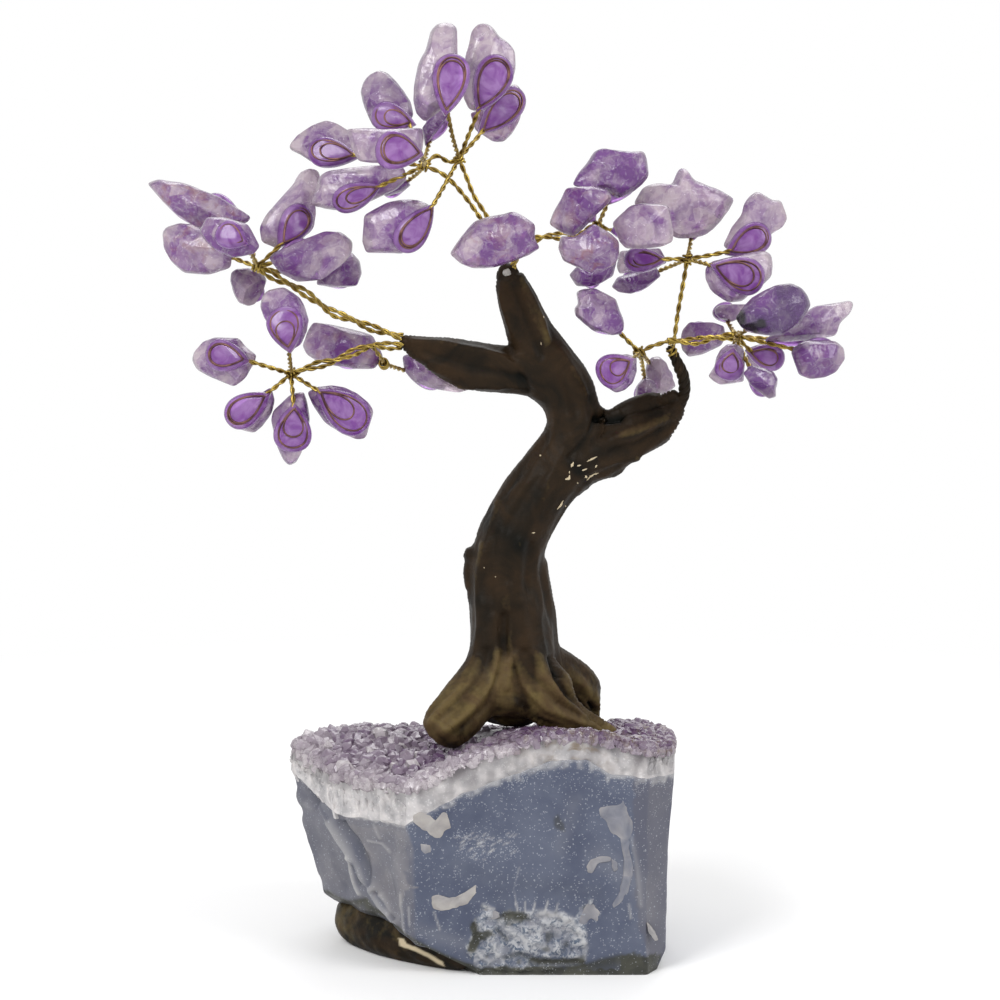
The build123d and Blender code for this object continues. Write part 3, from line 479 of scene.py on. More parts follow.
body = coated(tree, (0.043, 0.054, 0.097), (patches, (0.077, 0.091, 0.139)),
              (times(tree, mottle["Mask"], 0.3), (0.14, 0.158, 0.205)), (attributeOf(tree, "broken"), cream),
              (attributeOf(tree, "purple"), (0.073, 0.074, 0.102)), (attributeOf(tree, "ice"), frost),
              (shade, (0.46, 0.45, 0.44)), (times(tree, shade, -1.0), (0.03, 0.033, 0.045)),
              (attributeOf(tree, "rind"), darkRindAndShadow), (mathNode(tree, "MAXIMUM", dusty, flecks), (0.50, 0.52, 0.56)))
setSurface(tree, shader, body, ranged(tree, mottle["Height"], 0.4, 1.1, 0.34, 0.6), mottle["Height"], 0.25)


# Quartz of the band and of the crystal bed: milky, a little clear, darker with the piece's tone, rusty with its stain
def quartzFinish(name, pale, deep, dark, transmission, roughness):
    material, tree, shader = newMaterial(name, Roughness=roughness, IOR=1.54, Transmission_Weight=transmission)
    grain = useGroup(tree, cloudGroup, 330, 0.35, 0.68, 0.5, 2400)
    flecks = useGroup(tree, speckGroup, 2300, 0.5, 0.6)["Mask"]
    rust = useGroup(tree, cloudGroup, 420, 0.45, 0.7, 1.0, 900)["Mask"]
    body = coated(tree, pale, (grain["Mask"], deep), (times(tree, flecks, 0.45), (0.85, 0.83, 0.83)),
                  (attributeOf(tree, "tone"), dark),
                  (times(tree, rust, attributeOf(tree, "stain")), (0.175, 0.125, 0.075)))
    setSurface(tree, shader, body, ranged(tree, grain["Height"], 0.4, 1.1, roughness - 0.08, roughness + 0.2),
               grain["Height"], 0.4)
    return material


quartzStone = quartzFinish("quartzStone", (0.42, 0.41, 0.42), (0.78, 0.74, 0.73), (0.125, 0.112, 0.122), 0.15, 0.3)
druseStone = quartzFinish("druseStone", (0.44, 0.39, 0.42), (0.68, 0.62, 0.65), (0.145, 0.082, 0.165), 0.3, 0.14)

# Pale skin on the sawn face: blue-grey where it is thin, cream where the piece's own value is high
skinStone, tree, shader = newMaterial("agateSkin", Roughness=0.5)
grain = useGroup(tree, cloudGroup, 330, 0.3, 0.7, 0.8, 2400)
thin = mixColour(tree, grain["Mask"], (0.11, 0.12, 0.16), (0.19, 0.195, 0.23))
thick = mixColour(tree, grain["Mask"], (0.27, 0.25, 0.24), (0.40, 0.375, 0.35))
setSurface(tree, shader, mixColour(tree, attributeOf(tree, "cream"), thin, thick), None, grain["Height"], 0.4)

glueFinish, tree, shader = newMaterial("clearGlue", Roughness=0.12, IOR=1.48, Transmission_Weight=0.5)
clouded = useGroup(tree, cloudGroup, 600)["Mask"]
setSurface(tree, shader, mixColour(tree, clouded, (0.50, 0.47, 0.42), (0.66, 0.63, 0.58)))
print("finishes built")


# A stone on its stem: its CAD node, depth share, the ends of its loop from where the stem enters, the loop's size
# and its outline. It may add the side that the loop lies on (1 forward, -1 back), how far its face nods up and swings
# to the right in degrees, how thick it is, its tone from pale to violet, stain, smoke, places of soot, the size of a
# second turn of wire (ring), and the knot that its stem comes from (hub).
def hung(node, depth, loop, loopSize, outline, **more):
    return dict(node=node, depth=depth, loop=pairsOf(loop), loopSize=loopSize, outline=pairsOf(outline), **more)


# Boughs: pairs of wires in a bundle, knots as a route and its point, routes as places of a pixel and a depth share
boughs = {}
boughs["leftUpper"] = dict(pairs=2, knots=[(0, 6)], routes=[
    [(391, 334, -0.045), (372, 328, -0.05), (350, 319, -0.06), (330, 311, -0.07), (302, 291, -0.08),
     (278, 279, -0.09), (257, 267, -0.09)],
], leaves=[
    hung("stone_long", 0.1, [240,221, 208,205], 0.9, [146,183, 158,179, 185,183, 220,197, 252,217, 248,223, 228,226,
         198,229, 178,217, 161,200], side=-1, nod=6, swing=-14, tone=0.35, stain=0.5),
    hung("stone_spotted", -0.06, [226,256, 198,250], 1, [162,233, 166,227, 178,223, 192,224, 205,231, 224,240,
         232,252, 231,268, 209,275, 184,273, 171,261, 164,248], side=-1, nod=-8, swing=-16, tone=0.15, stain=0.4),
    hung("small_stones", -0.27, [244,242, 222,231], 0.75, [199,232, 206,217, 224,217, 248,224, 260,246, 254,254,
         233,258, 216,251, 206,242], nod=8, swing=-12, thick=0.8, tone=0.45),
    hung("small_stones", 0.02, [252,276, 249,296], 0.8, [231,273, 236,269, 250,268, 262,271, 267,280, 263,292,
         255,304, 248,306, 239,303, 234,295, 230,281], side=-1, nod=-18, swing=6, thick=0.9, tone=0.2, stain=0.1),
    hung("stone_upright", 0.04, [282,243, 304,211], 0.9, [309,168, 318,170, 321,179, 314,200, 316,214, 313,230,
         300,241, 278,249, 262,243, 259,228, 265,216, 278,201, 295,182, 300,172], nod=4, swing=22, tone=0.1,
         ring=0.93),
    hung("stone_broad", -0.13, [276,261, 312,256], 1.1, [268,258, 275,252, 288,246, 304,239, 325,231, 342,232,
         353,241, 352,254, 343,264, 322,280, 297,282, 280,273], side=-1, nod=6, swing=10, tone=0.45, stain=0.12,
         smoke=0.05),
    hung("small_stones", 0.06, [322,279, 346,270], 0.9, [318,272, 338,259, 352,252, 360,261, 362,273, 357,286,
         335,288, 316,285], side=-1, nod=-10, swing=12, thick=0.9, tone=0.5),
])
boughs["leftLower"] = dict(pairs=2, knots=[(0, 5), (1, 2)], routes=[
    [(391, 346, -0.075), (372, 346, -0.1), (352, 353, -0.13), (334, 361, -0.15), (314, 366, -0.17),
     (291, 374, -0.18)],
    [(372, 346, -0.1), (380, 357, -0.05), (384, 364, 0.02)],
], leaves=[
    hung("stone_top", -0.3, [289,348, 283,312], 1.1, [277,288, 284,287, 300,297, 305,306, 309,320, 307,331, 301,345,
         291,351, 282,344, 270,327, 264,318, 260,307, 262,296, 268,290], nod=8, swing=-6, tone=0.5, smoke=0.05,
         ring=0.66),
    hung("stone_left", -0.2, [245,360, 211,353], 0.9, [204,341, 216,337, 239,338, 246,347, 257,355, 254,364, 244,380,
         234,387, 210,377, 197,370, 192,361, 194,352], nod=4, swing=-16, tone=0.3, ring=0.96),
    hung("stone_low_left", -0.19, [266,396, 231,419], 0.95, [230,418, 235,410, 248,401, 258,395, 271,387, 275,400,
         272,413, 262,427, 254,433, 244,431, 235,428], nod=-4, swing=-14, thick=0.85, tone=0.35, ring=0.95),
    hung("stone_low", -0.22, [294,408, 292,447], 1.15, [271,420, 273,411, 282,402, 291,394, 304,391, 308,404, 310,418,
         308,435, 302,452, 296,463, 289,466, 283,460, 276,444], nod=-8, swing=4, tone=0.38, ring=0.68),
    hung("stone_low_right", -0.2, [320,392, 363,425], 1.2, [307,392, 316,387, 330,385, 344,387, 357,393, 369,403,
         374,411, 366,438, 358,440, 342,434, 325,423, 313,406], nod=-4, swing=12, tone=0.58, ring=0.68),
    hung("rear_stones", 0.06, [374,359, 338,346], 1.2, [313,322, 335,325, 360,331, 373,335, 377,343, 384,357, 375,369,
         356,369, 335,366, 318,362, 306,354, 302,345, 306,334], side=-1, nod=6, swing=-6, hub=1, tone=0.35,
         stain=0.25),
    hung("rear_stones", 0.18, [409,371, 440,378], 0.8, [402,356, 411,353, 440,365, 462,378, 473,389, 459,393, 430,388,
         413,381, 404,370], side=-1, nod=10, swing=8, thick=0.8, hub=1, tone=0.3),
])
boughs["crown"] = dict(pairs=1, knots=[(0, 5), (1, 5)], routes=[
    [(503, 257, 0), (497, 238, 0.01), (486, 215, 0.01), (474, 196, 0.005), (466, 176, -0.005), (459, 159, -0.01)],
    [(497, 238, 0.01), (481, 219, -0.035), (469, 202, -0.06), (454, 184, -0.065), (441, 173, -0.06),
     (424, 166, -0.07)],
    [(459, 159, -0.01), (449, 162, -0.01), (436, 156, -0.04), (424, 166, -0.07)],
], leaves=[
    hung("stone_tall_left", -0.19, [446,111, 454,59], 1.1, [430,32, 435,24, 449,22, 457,27, 458,58, 458,84, 451,105,
         438,113, 424,123, 416,114, 413,100, 414,85, 418,63, 426,49], nod=10, swing=4, thick=1.1, tone=0.12,
         smoke=0.12, ring=0.93),
    hung("stone_tall_right", 0.01, [479,108, 501,61], 1.15, [471,32, 477,24, 487,23, 494,29, 500,37, 509,43, 515,51,
         516,70, 511,84, 500,99, 483,112, 469,110, 463,97, 462,79, 464,60, 469,44], nod=8, swing=10, thick=1.1,
         tone=0.05, smoke=0.05, ring=0.95),
    hung("rear_stones", 0.2, [482,131, 518,94], 1, [470,113, 484,108, 501,97, 512,84, 518,85, 523,93, 523,107,
         519,122, 512,134, 504,142, 493,142, 485,137, 475,130], swing=16, thick=0.9, tone=0.25, stain=0.3, ring=0.93),
    hung("stone_low", -0.16, [431,208, 402,246], 0.9, [364,215, 380,206, 388,202, 404,199, 418,200, 428,204, 434,209,
         432,222, 425,239, 414,249, 401,254, 383,253, 366,253, 362,242], nod=-6, swing=10, tone=0.35, smoke=0.08,
         ring=0.95),
    hung("stone_upper_left", 0.08, [411,123, 377,114], 0.85, [360,92, 363,82, 370,74, 379,70, 388,73, 396,81, 404,91,
         411,102, 414,115, 408,126, 393,129, 374,128, 369,119, 364,107], nod=6, swing=-8, hub=1, tone=0.3, smoke=0.25,
         ring=0.7),
    hung("stone_far_left", 0.14, [354,156, 313,150], 0.85, [289,146, 297,136, 313,125, 327,120, 338,124, 350,131,
         357,146, 357,160, 345,164, 328,166, 311,162, 301,155, 290,150], nod=10, swing=-10, hub=1, tone=0.25,
         smoke=0.05, ring=0.75),
    hung("stone_front", -0.3, [419,154, 381,148], 1.15, [346,129, 363,128, 383,129, 405,128, 423,128, 424,141,
         421,157, 411,162, 399,166, 387,163, 372,163, 358,161, 352,149], nod=6, swing=4, thick=0.95, hub=1, tone=0,
         ring=0.93),
    hung("stone_slanted", -0.085, [378,187, 338,203], 0.75, [319,176, 327,171, 346,168, 376,165, 404,167, 408,178,
         398,189, 376,199, 357,208, 337,211, 320,208, 309,205, 314,194], nod=-10, swing=-6, thick=0.9, hub=1,
         tone=0.35, smoke=0.05, ring=0.72),
    hung("rear_stones", 0.16, [430,139, 440,118], 0.5, [422,128, 433,113, 446,105, 449,115, 441,127, 431,139,
         425,147], side=-1, thick=0.7, hub=1, tone=0.5),
    hung("rear_stones", 0.1, [405,183, 386,187], 0.6, [374,186, 386,178, 402,176, 411,185, 403,192, 386,197], side=-1,
         thick=0.7, hub=1, tone=0.85),
])
boughs["middle"] = dict(pairs=2, knots=[(0, 6), (0, 1)], routes=[
    [(518, 257, -0.02), (524, 248, 0), (536, 239, 0), (549, 236, -0.01), (566, 236, -0.02), (583, 232, -0.03),
     (598, 226, -0.03)],
], leaves=[
    hung("stone_facing", -0.28, [521,243, 487,240], 1.1, [449,254, 456,243, 464,233, 474,221, 490,216, 504,214,
         513,211, 522,215, 536,224, 535,240, 541,248, 526,257, 509,263, 493,268, 473,269, 461,264], side=-1, nod=-4,
         swing=-6, thick=1.1, hub=1, tone=0.4, stain=0.25),
    hung("stone_top", 0.05, [609,201, 622,170], 1.2, [572,185, 578,173, 587,163, 594,151, 601,148, 614,150, 631,152,
         644,151, 647,158, 649,176, 643,184, 633,192, 619,199, 604,191, 587,190], side=-1, nod=8, swing=8, thick=1.1,
         tone=0.8),
    hung("stone_left", -0.13, [592,218, 574,203], 1, [549,224, 553,212, 561,199, 566,188, 581,186, 596,186, 608,190,
         613,197, 608,204, 595,216, 582,230, 573,237, 561,233], side=-1, nod=6, swing=-10, thick=0.9, tone=0.5,
         stain=0.3),
    hung("lower_stones", -0.28, [601,236, 588,256], 1, [560,236, 575,237, 585,230, 594,223, 609,232, 619,241, 620,254,
         616,264, 605,270, 590,273, 576,267, 563,261, 558,249], side=-1, nod=-10, swing=-4, thick=0.95, tone=0.45,
         stain=0.5, smoke=0.05),
    hung("lower_stones", -0.02, [601,266, 585,278], 0.7, [569,275, 577,266, 590,268, 604,263, 617,261, 613,276,
         602,283, 590,287, 576,286], side=-1, nod=-14, thick=0.75, tone=0.7),
    hung("stone_square", -0.11, [615,231, 646,226], 1.1, [612,223, 621,214, 631,205, 643,203, 659,204, 669,206,
         671,219, 674,232, 673,242, 661,247, 645,249, 625,249, 619,241], side=-1, nod=4, swing=10, thick=0.85,
         tone=0.1, stain=0.1),
])
boughs["rightUpper"] = dict(pairs=1, knots=[(0, 4)], routes=[
    [(675, 334, 0.04), (678, 312, 0.05), (682, 290, 0.07), (685, 273, 0.08), (687, 259, 0.08)],
], leaves=[
    hung("stone_horned", 0.25, [693,236, 690,207], 1.2, [633,204, 643,187, 655,183, 672,185, 675,177, 678,169,
         683,167, 688,171, 692,179, 704,184, 720,190, 735,199, 728,212, 717,226, 706,235, 696,238, 676,239, 664,229,
         650,216], side=-1, nod=8, swing=10, tone=0.1, stain=0.08),
    hung("stone_high", 0.16, [730,252, 765,233], 0.95, [723,246, 731,228, 737,220, 742,214, 744,204, 749,196, 757,191,
         766,196, 773,200, 781,200, 784,209, 788,219, 783,227, 770,235, 767,244, 767,250, 750,252, 732,253], nod=4,
         swing=14, tone=0.2, smoke=0.1, ring=0.94),
    hung("stone_round", -0.04, [715,266, 759,281], 1.15, [705,268, 710,262, 720,259, 743,254, 764,250, 771,254,
         773,264, 772,276, 764,284, 751,293, 743,301, 729,303, 720,298, 710,290, 705,278], nod=-4, swing=8, tone=0.2,
         ring=0.8),
    hung("inner_stones", 0.14, [662,260, 629,260], 0.65, [620,251, 640,249, 660,248, 665,257, 667,263, 656,267,
         634,271, 619,274, 616,267], nod=6, swing=-8, thick=0.75, tone=0.25, stain=0.1, ring=0.8),
    hung("inner_stones", 0.27, [655,273, 628,282], 0.6, [611,287, 617,277, 640,271, 657,267, 661,276, 647,288,
         631,294, 618,292], side=-1, nod=-12, swing=-6, thick=0.75, tone=0.85),
])
boughs["rightInner"] = dict(pairs=1, knots=[(0, 2)], routes=[
    [(659, 344, 0), (650, 347, -0.01), (640, 353, -0.02)],
], leaves=[
    hung("stone_upright", -0.12, [618,331, 594,311], 0.9, [576,292, 582,289, 595,288, 609,295, 616,299, 620,311,
         624,320, 624,331, 613,336, 604,333, 593,331, 583,323, 575,316, 574,308, 578,304], side=-1, nod=4, swing=-8,
         thick=0.95, tone=0.4),
    hung("stone_round", -0.14, [630,361, 603,376], 1, [597,361, 612,355, 628,354, 637,357, 637,371, 633,383, 625,390,
         616,393, 607,388, 599,376, 596,368], nod=-6, swing=-8, thick=0.95, tone=0.5, ring=0.62),
    hung("rear_stones", 0.3, [652,365, 662,384], 0.7, [647,362, 652,357, 659,356, 666,362, 671,374, 676,386, 667,394,
         656,394, 649,384, 645,372], side=-1, swing=8, thick=0.8, tone=0.08),
    hung("rear_stones", 0.18, [645,382, 646,398], 0.6, [634,399, 637,385, 645,377, 654,380, 658,391, 657,401,
         643,405], side=-1, thick=0.7, tone=0.3, stain=0.1),
])
boughs["rightOuter"] = dict(pairs=2, knots=[(0, 3)], routes=[
    [(680, 341, -0.05), (696, 341, -0.06), (712, 338, -0.06), (736, 336, -0.06)],
], leaves=[
    hung("stone_dark", -0.28, [749,328, 781,309], 1.2, [735,318, 742,308, 751,298, 763,291, 776,285, 791,283, 802,288,
         808,295, 811,305, 805,316, 793,328, 782,335, 769,336, 755,333, 741,328], side=-1, nod=8, swing=6, thick=1.1,
         tone=1, smoke=0.55, soot=[(738, 319, 12), (750, 329, 10), (762, 322, 6)]),
    hung("stone_pointed", -0.05, [771,339, 808,328], 0.8, [788,331, 802,315, 814,306, 828,304, 841,302, 851,300,
         854,304, 850,314, 840,323, 836,336, 815,340, 787,342, 763,342, 768,336], side=-1, nod=4, swing=12, tone=0.4,
         smoke=0.1),
    hung("stone_round", -0.2, [797,350, 829,358], 1.1, [791,352, 798,344, 807,340, 825,340, 836,341, 844,348, 845,359,
         836,372, 824,378, 810,379, 799,375, 795,364], side=-1, nod=-6, swing=12, tone=0.6, stain=0.1),
    hung("lower_stones", -0.19, [733,352, 728,375], 0.8, [727,344, 737,344, 744,349, 745,364, 744,382, 720,385,
         713,381, 708,376, 714,367, 716,358, 720,350], nod=-10, swing=-4, thick=0.9, tone=0.4, smoke=0.1, ring=0.8),
    hung("lower_stones", 0.02, [750,352, 779,360], 0.7, [747,348, 757,346, 773,348, 781,355, 785,360, 776,367,
         765,369, 752,368, 746,358], nod=-8, swing=8, thick=0.75, tone=0.35, ring=0.9),
    hung("lower_stones", -0.34, [751,370, 768,388], 0.7, [743,373, 751,365, 765,368, 774,372, 778,379, 776,388,
         776,397, 769,399, 760,393, 750,385], side=-1, nod=-8, swing=4, thick=0.85, tone=0.3, smoke=0.3),
    hung("inner_stones", 0.1, [719,338, 692,338], 0.95, [680,342, 682,330, 689,322, 697,322, 712,322, 724,326,
         726,337, 721,346, 710,351, 701,355, 688,357, 682,350], side=-1, swing=-8, thick=0.9, tone=0.35, stain=0.1),
    hung("inner_stones", 0.14, [727,319, 722,309], 0.5, [714,309, 719,305, 734,304, 746,304, 750,312, 742,317,
         732,322, 720,319, 715,314], side=-1, nod=6, thick=0.7, tone=0.6, ring=0.9),
])
wire = {
    "radius": 0.00025,
    "loopRadius": 0.00019,
    "pairApart": 0.00024,  # from a pair's middle to each of its wires
    "pairPitch": 0.0044,
    "bundleApart": 0.00055,  # from a bundle's middle to each of its pairs
    "bundlePitch": 0.015,
    "spacing": 0.0003,
    "sides": 8,
    "stemEnd": (0.0004, 0.0009),  # past the loop's start, and over the stone's face
    "stemSag": 0.03,
    "stemTurn": 9000,  # radians a metre, so that no two stems start their twist alike
    "knotPoints": 110,
    "knotRadius": 0.00085,
    "knotTurns": 3.2,
    "knotPitch": 0.00062,
    "bendRun": 0.004,  # length of wire over which a bough bends
    "bendLead": 0.0025,  # how far back in the limb it starts
}
stone = {
    "thickness": 0.0074,
    "columns": 88,
    "rows": 20,
    "bevelHeight": 1.12,
    "edgeSharpness": 3.2,
    "edgeRoundness": 0.75,
    "edgeHeight": 0.4,  # share of the bevel that every facet leaves
    "chipSize": 0.0028,
    "chipDepth": 0.00042,
    "ridgeSpacing": 0.0009,
    "ridgeDepth": 0.00003,
    "fineDepth": 0.00005,
    "sharpEdge": 17,
}
drop = {
    "margin": 0.0011,  # from the loop out to the drop's rim
    "loopWidth": 0.0050,
    "loopPoints": 96,
    "wireRise": 0.00115,
    "secondRise": 0.00022,  # of a second turn over the first
    "middle": 0.56,  # share of the run to which the outline is drawn in
    "ripple": 0.00022,
    "columns": 56,
}
# the drop's section from its middle out, over the top and under: share of the way out, height
dropProfile = [(0.25, 0.00145), (0.5, 0.0014), (0.7, 0.00125), (0.84, 0.00095), (0.94, 0.00045), (1.0, -0.0002),
               (0.97, -0.001), (0.85, -0.0018), (0.5, -0.0021)]


def nodePrefix(bough):
    return "".join("_" + c.lower() if c.isupper() else c for c in bough)


# the way a stone's face looks: back along the view, nodded up and swung to the right
def faceNormal(leaf):
    nod, swing = rise + math.radians(leaf.get("nod", 0)), math.radians(leaf.get("swing", 0))
    return np.array([math.cos(nod) * math.sin(swing), -math.cos(nod) * math.cos(swing), math.sin(nod)])


# the stone's middle, the way its face looks, and half its thickness
def seatOf(leaf):
    middle = placesAt([*np.mean(leaf["outline"], axis=0), leaf["depth"]])
    return middle, faceNormal(leaf), stone["thickness"] * leaf.get("thick", 1) / 2


# the flat that the drop lies on: where the stem enters, along to the loop's far end, across, out, and the run
def dropSeat(leaf):
    middle, normal, half = seatOf(leaf)
    out = normal * leaf.get("side", 1)
    entry, far = placesOn(leaf["loop"], middle + out * half, out)
    run = np.linalg.norm(far - entry)
    along = (far - entry) / run
    return entry, along, np.cross(out, along), out, run


# a closed line through the outline's pixels, evenly spaced and a little rounded at its corners
def outlinePixels(outline, count):
    corners = pairsOf(outline)
    closed = np.concatenate([corners, corners[:1]])
    run = runOf(closed)
    at = np.linspace(0, run[-1], count, endpoint=False)
    line = np.stack([np.interp(at, run, closed[:, k]) for k in range(2)], -1)
    for _ in range(2):
        line = (np.roll(line, 1, 0) + 2 * line + np.roll(line, -1, 0)) / 4
    return line


# one face of a stone over its disc of (share out, turn): the lowest of a few tilted planes and of a bevel
# round its edge, height (1 - share^sharpness)^roundness
def facetHeights(disc, ring, axis, dice, shares):
    tilts = np.concatenate([
        math.pi / 2 + dice.uniform(-0.35, 0.35, 2), -math.pi / 2 + dice.uniform(-0.35, 0.35, 2),
        dice.uniform(-0.9, 0.9, 2), math.pi + dice.uniform(-0.8, 0.8, 1), dice.uniform(0, 2 * math.pi, 2)])
    turned = math.atan2(axis[1], axis[0]) + tilts
    ways = np.stack([np.cos(turned), np.sin(turned)], -1)
    reach = (ring @ ways.T).max(0)
    slope = dice.uniform(0.2, 0.95, len(tilts))
    level = 1 + dice.uniform(-0.1, 0.4, len(tilts)) * slope
    planes = level - slope * (disc @ ways.T) / reach
    bevel = stone["bevelHeight"] * (1 - shares**stone["edgeSharpness"]).clip(0) ** stone["edgeRoundness"]
    lowest = np.minimum(np.minimum(planes.min(-1), 1.0), bevel[:, None])
    return np.maximum(lowest, stone["edgeHeight"] * np.minimum(bevel, 1)[:, None])


# A stone is a grid of rings from the middle of its front, out to its outline, and in again behind:
# middle + share * (outline - middle) + height * normal, then chipped in shells and worn along the normal
def stoneShell(leaf, seed):
    dice = np.random.default_rng(seed)
    middle, normal, half = seatOf(leaf)
    outline = placesOn(outlinePixels(leaf["outline"], stone["columns"]), middle, normal) - middle
    right = unit(np.cross([0, 0, 1.0], normal))
    up = np.cross(normal, right)
    ring = np.stack([outline @ right, outline @ up], -1)
    long = np.linalg.eigh(ring.T @ ring)[1][:, -1]
    entry = placesOn(leaf["loop"], middle, normal)[0] - middle
    if np.dot(long, [entry @ right, entry @ up]) > 0:
        long = -long
    shares = np.sin(np.linspace(0, math.pi / 2, stone["rows"] + 1))[1:]
    disc = shares[:, None, None] * ring[None]
    front = facetHeights(disc, ring, long, dice, shares)
    back = facetHeights(disc, ring, long, dice, shares)
    heights = np.concatenate([front, -back[-2::-1]]) * half
    flat = np.concatenate([disc, disc[-2::-1]])
    flat = np.concatenate([flat.reshape(-1, 2), [[0, 0], [0, 0]]])
    heights = np.concatenate([heights.reshape(-1), [front[0].mean() * half, -back[0].mean() * half]])
    points = middle + flat[:, :1] * right + flat[:, 1:] * up + heights[:, None] * normal
    tip = eased(flat @ long / (ring @ long).max(), 0.25, 0.95)
    chipped = eased(lumps(points, 0.004, seed) + 0.7 * tip, 0.0, 0.4)
    hollow = stone["chipDepth"] * chipped * (0.75 - grains(points, stone["chipSize"], seed)[0])
    ridged = 2 * math.pi * (flat @ long) / stone["ridgeSpacing"] + 3 * lumps(points, 0.002, seed + 1)
    fine = stone["fineDepth"] * lumps(points, 0.0007, seed + 2) * (0.3 + tip)
    sunk = np.abs(heights) / half * (hollow.clip(0) + stone["ridgeDepth"] * np.sin(ridged) + fine)
    points = points - np.sign(heights)[:, None] * sunk[:, None] * normal
    points = middle + (points - middle) * (1 - 0.02 * np.abs(lumps(points, 0.0022, seed + 3)))[:, None]
    quads, tris = closedGrid(2 * stone["rows"] - 1, stone["columns"])
    tone = leaf["tone"] + 0.1 + 0.5 * (0.4 - tip) + 0.2 * lumps(points, 0.005, seed + 4)
    smoky = leaf.get("smoke", 0)
    smoke = smoky * eased(lumps(points, 0.006, seed + 5) + 0.6 * smoky, -0.2, 0.5)
    for x, y, wide in leaf.get("soot", []):
        away = np.linalg.norm(pixelsOf(points) - [x, y], axis=1) + 2.5 * lumps(points, 0.0015, seed + 6)
        smoke = np.maximum(smoke, np.exp(-(away / wide) ** 4))
    shell = withValues((points, quads, tris), tone=np.clip(tone, 0, 1), stain=leaf.get("stain", 0), smoke=smoke)
    return turnedOut(shell)


# teardrop round the run: x = run (1 - cos t) / 2, y = width sin t sin(t / 2)^0.9, from its point at the stem
def teardropLine(run, width, count, start=0.0, end=1.0):
    t = 2 * math.pi * np.linspace(start, end, count)
    return np.stack([run * (1 - np.cos(t)) / 2, 0.62 * width * np.sin(t) * np.abs(np.sin(t / 2)) ** 0.9], -1)


# a resin drop: the teardrop outline drawn in to its middle by each share of the profile, at that height
def dropShell(leaf, seed):
    entry, along, side, out, run = dropSeat(leaf)
    width = drop["loopWidth"] * leaf["loopSize"]
    outline = teardropLine(run + 2.1 * drop["margin"], width + 2 * drop["margin"], drop["columns"] + 1)[:-1]
    outline[:, 0] -= drop["margin"]
    centre = np.array([drop["middle"] * run, 0])
    profile = smoothLine(dropProfile, 0.06)
    flat = centre + profile[:, None, :1] * (outline - centre)[None]
    flat = np.concatenate([flat.reshape(-1, 2), [centre, centre]])
    high = np.concatenate([np.repeat(profile[:, 1], drop["columns"]), [dropProfile[0][1], dropProfile[-1][1]]])
    points = entry + flat[:, :1] * along + flat[:, 1:] * side + high[:, None] * out
    points = points + (lumps(points, 0.0028, seed) * drop["ripple"] * (high > 0))[:, None] * out
    quads, tris = closedGrid(len(profile), drop["columns"])
    return turnedOut((points, quads, tris))


# the loop lies near the drop's top: one turn of wire, and a second inside it or against it where the leaf has one
def loopShells(leaf):
    entry, along, side, out, run = dropSeat(leaf)
    width = drop["loopWidth"] * leaf["loopSize"]
    shells = []
    for size, lift in ((1, 0), (leaf.get("ring", 0), drop["secondRise"])):
        if size:
            longer = 0.04 * (size < 0.9)
            flat = teardropLine(run * (size + longer), width * size, drop["loopPoints"], 0.008, 0.992)
            line = entry + flat[:, :1] * along + flat[:, 1:] * side + (drop["wireRise"] + lift) * out
            shells.append(tubeShell(line, wire["loopRadius"], wire["sides"], out))
    return shells


# a stem is a twisted pair from the knot to the drop, with an easy bend into the loop's line
def stemShells(leaf, hub):
    entry, along, side, out, run = dropSeat(leaf)
    end = entry + along * wire["stemEnd"][0] + out * wire["stemEnd"][1]
    reach = np.linalg.norm(end - hub)
    line = smoothLine([hub, hub + (end - hub) * 0.5 - along * wire["stemSag"] * reach, end], wire["spacing"])
    strands = strandLines(line, 2, wire["pairApart"], wire["pairPitch"], guideOf(line), reach * wire["stemTurn"])
    return [tubeShell(strand, wire["radius"], wire["sides"], guideOf(line)) for strand in strands]


# pairs wound loosely round a route, each pair twisted in itself
def bundleStrands(line, pairs):
    guide = guideOf(line)
    middles = [line] if pairs == 1 else strandLines(line, pairs, wire["bundleApart"], wire["bundlePitch"], guide, 0.6)
    strands = []
    for k, middle in enumerate(middles):
        strands += strandLines(middle, 2, wire["pairApart"], wire["pairPitch"], guide, 1.3 * k)
    return strands, guide


# a few turns of wire round the place where the stems part
def knotShell(place, before):
    ahead = unit(place - before)
    line = place + ahead * np.linspace(-0.5, 0.5, wire["knotPoints"])[:, None] * wire["knotPitch"] * wire["knotTurns"]
    guide = np.eye(3)[np.argmin(np.abs(ahead))]
    coil = strandLines(line, 1, wire["knotRadius"], wire["knotPitch"], guide)[0]
    return tubeShell(coil, wire["radius"], wire["sides"], ahead)


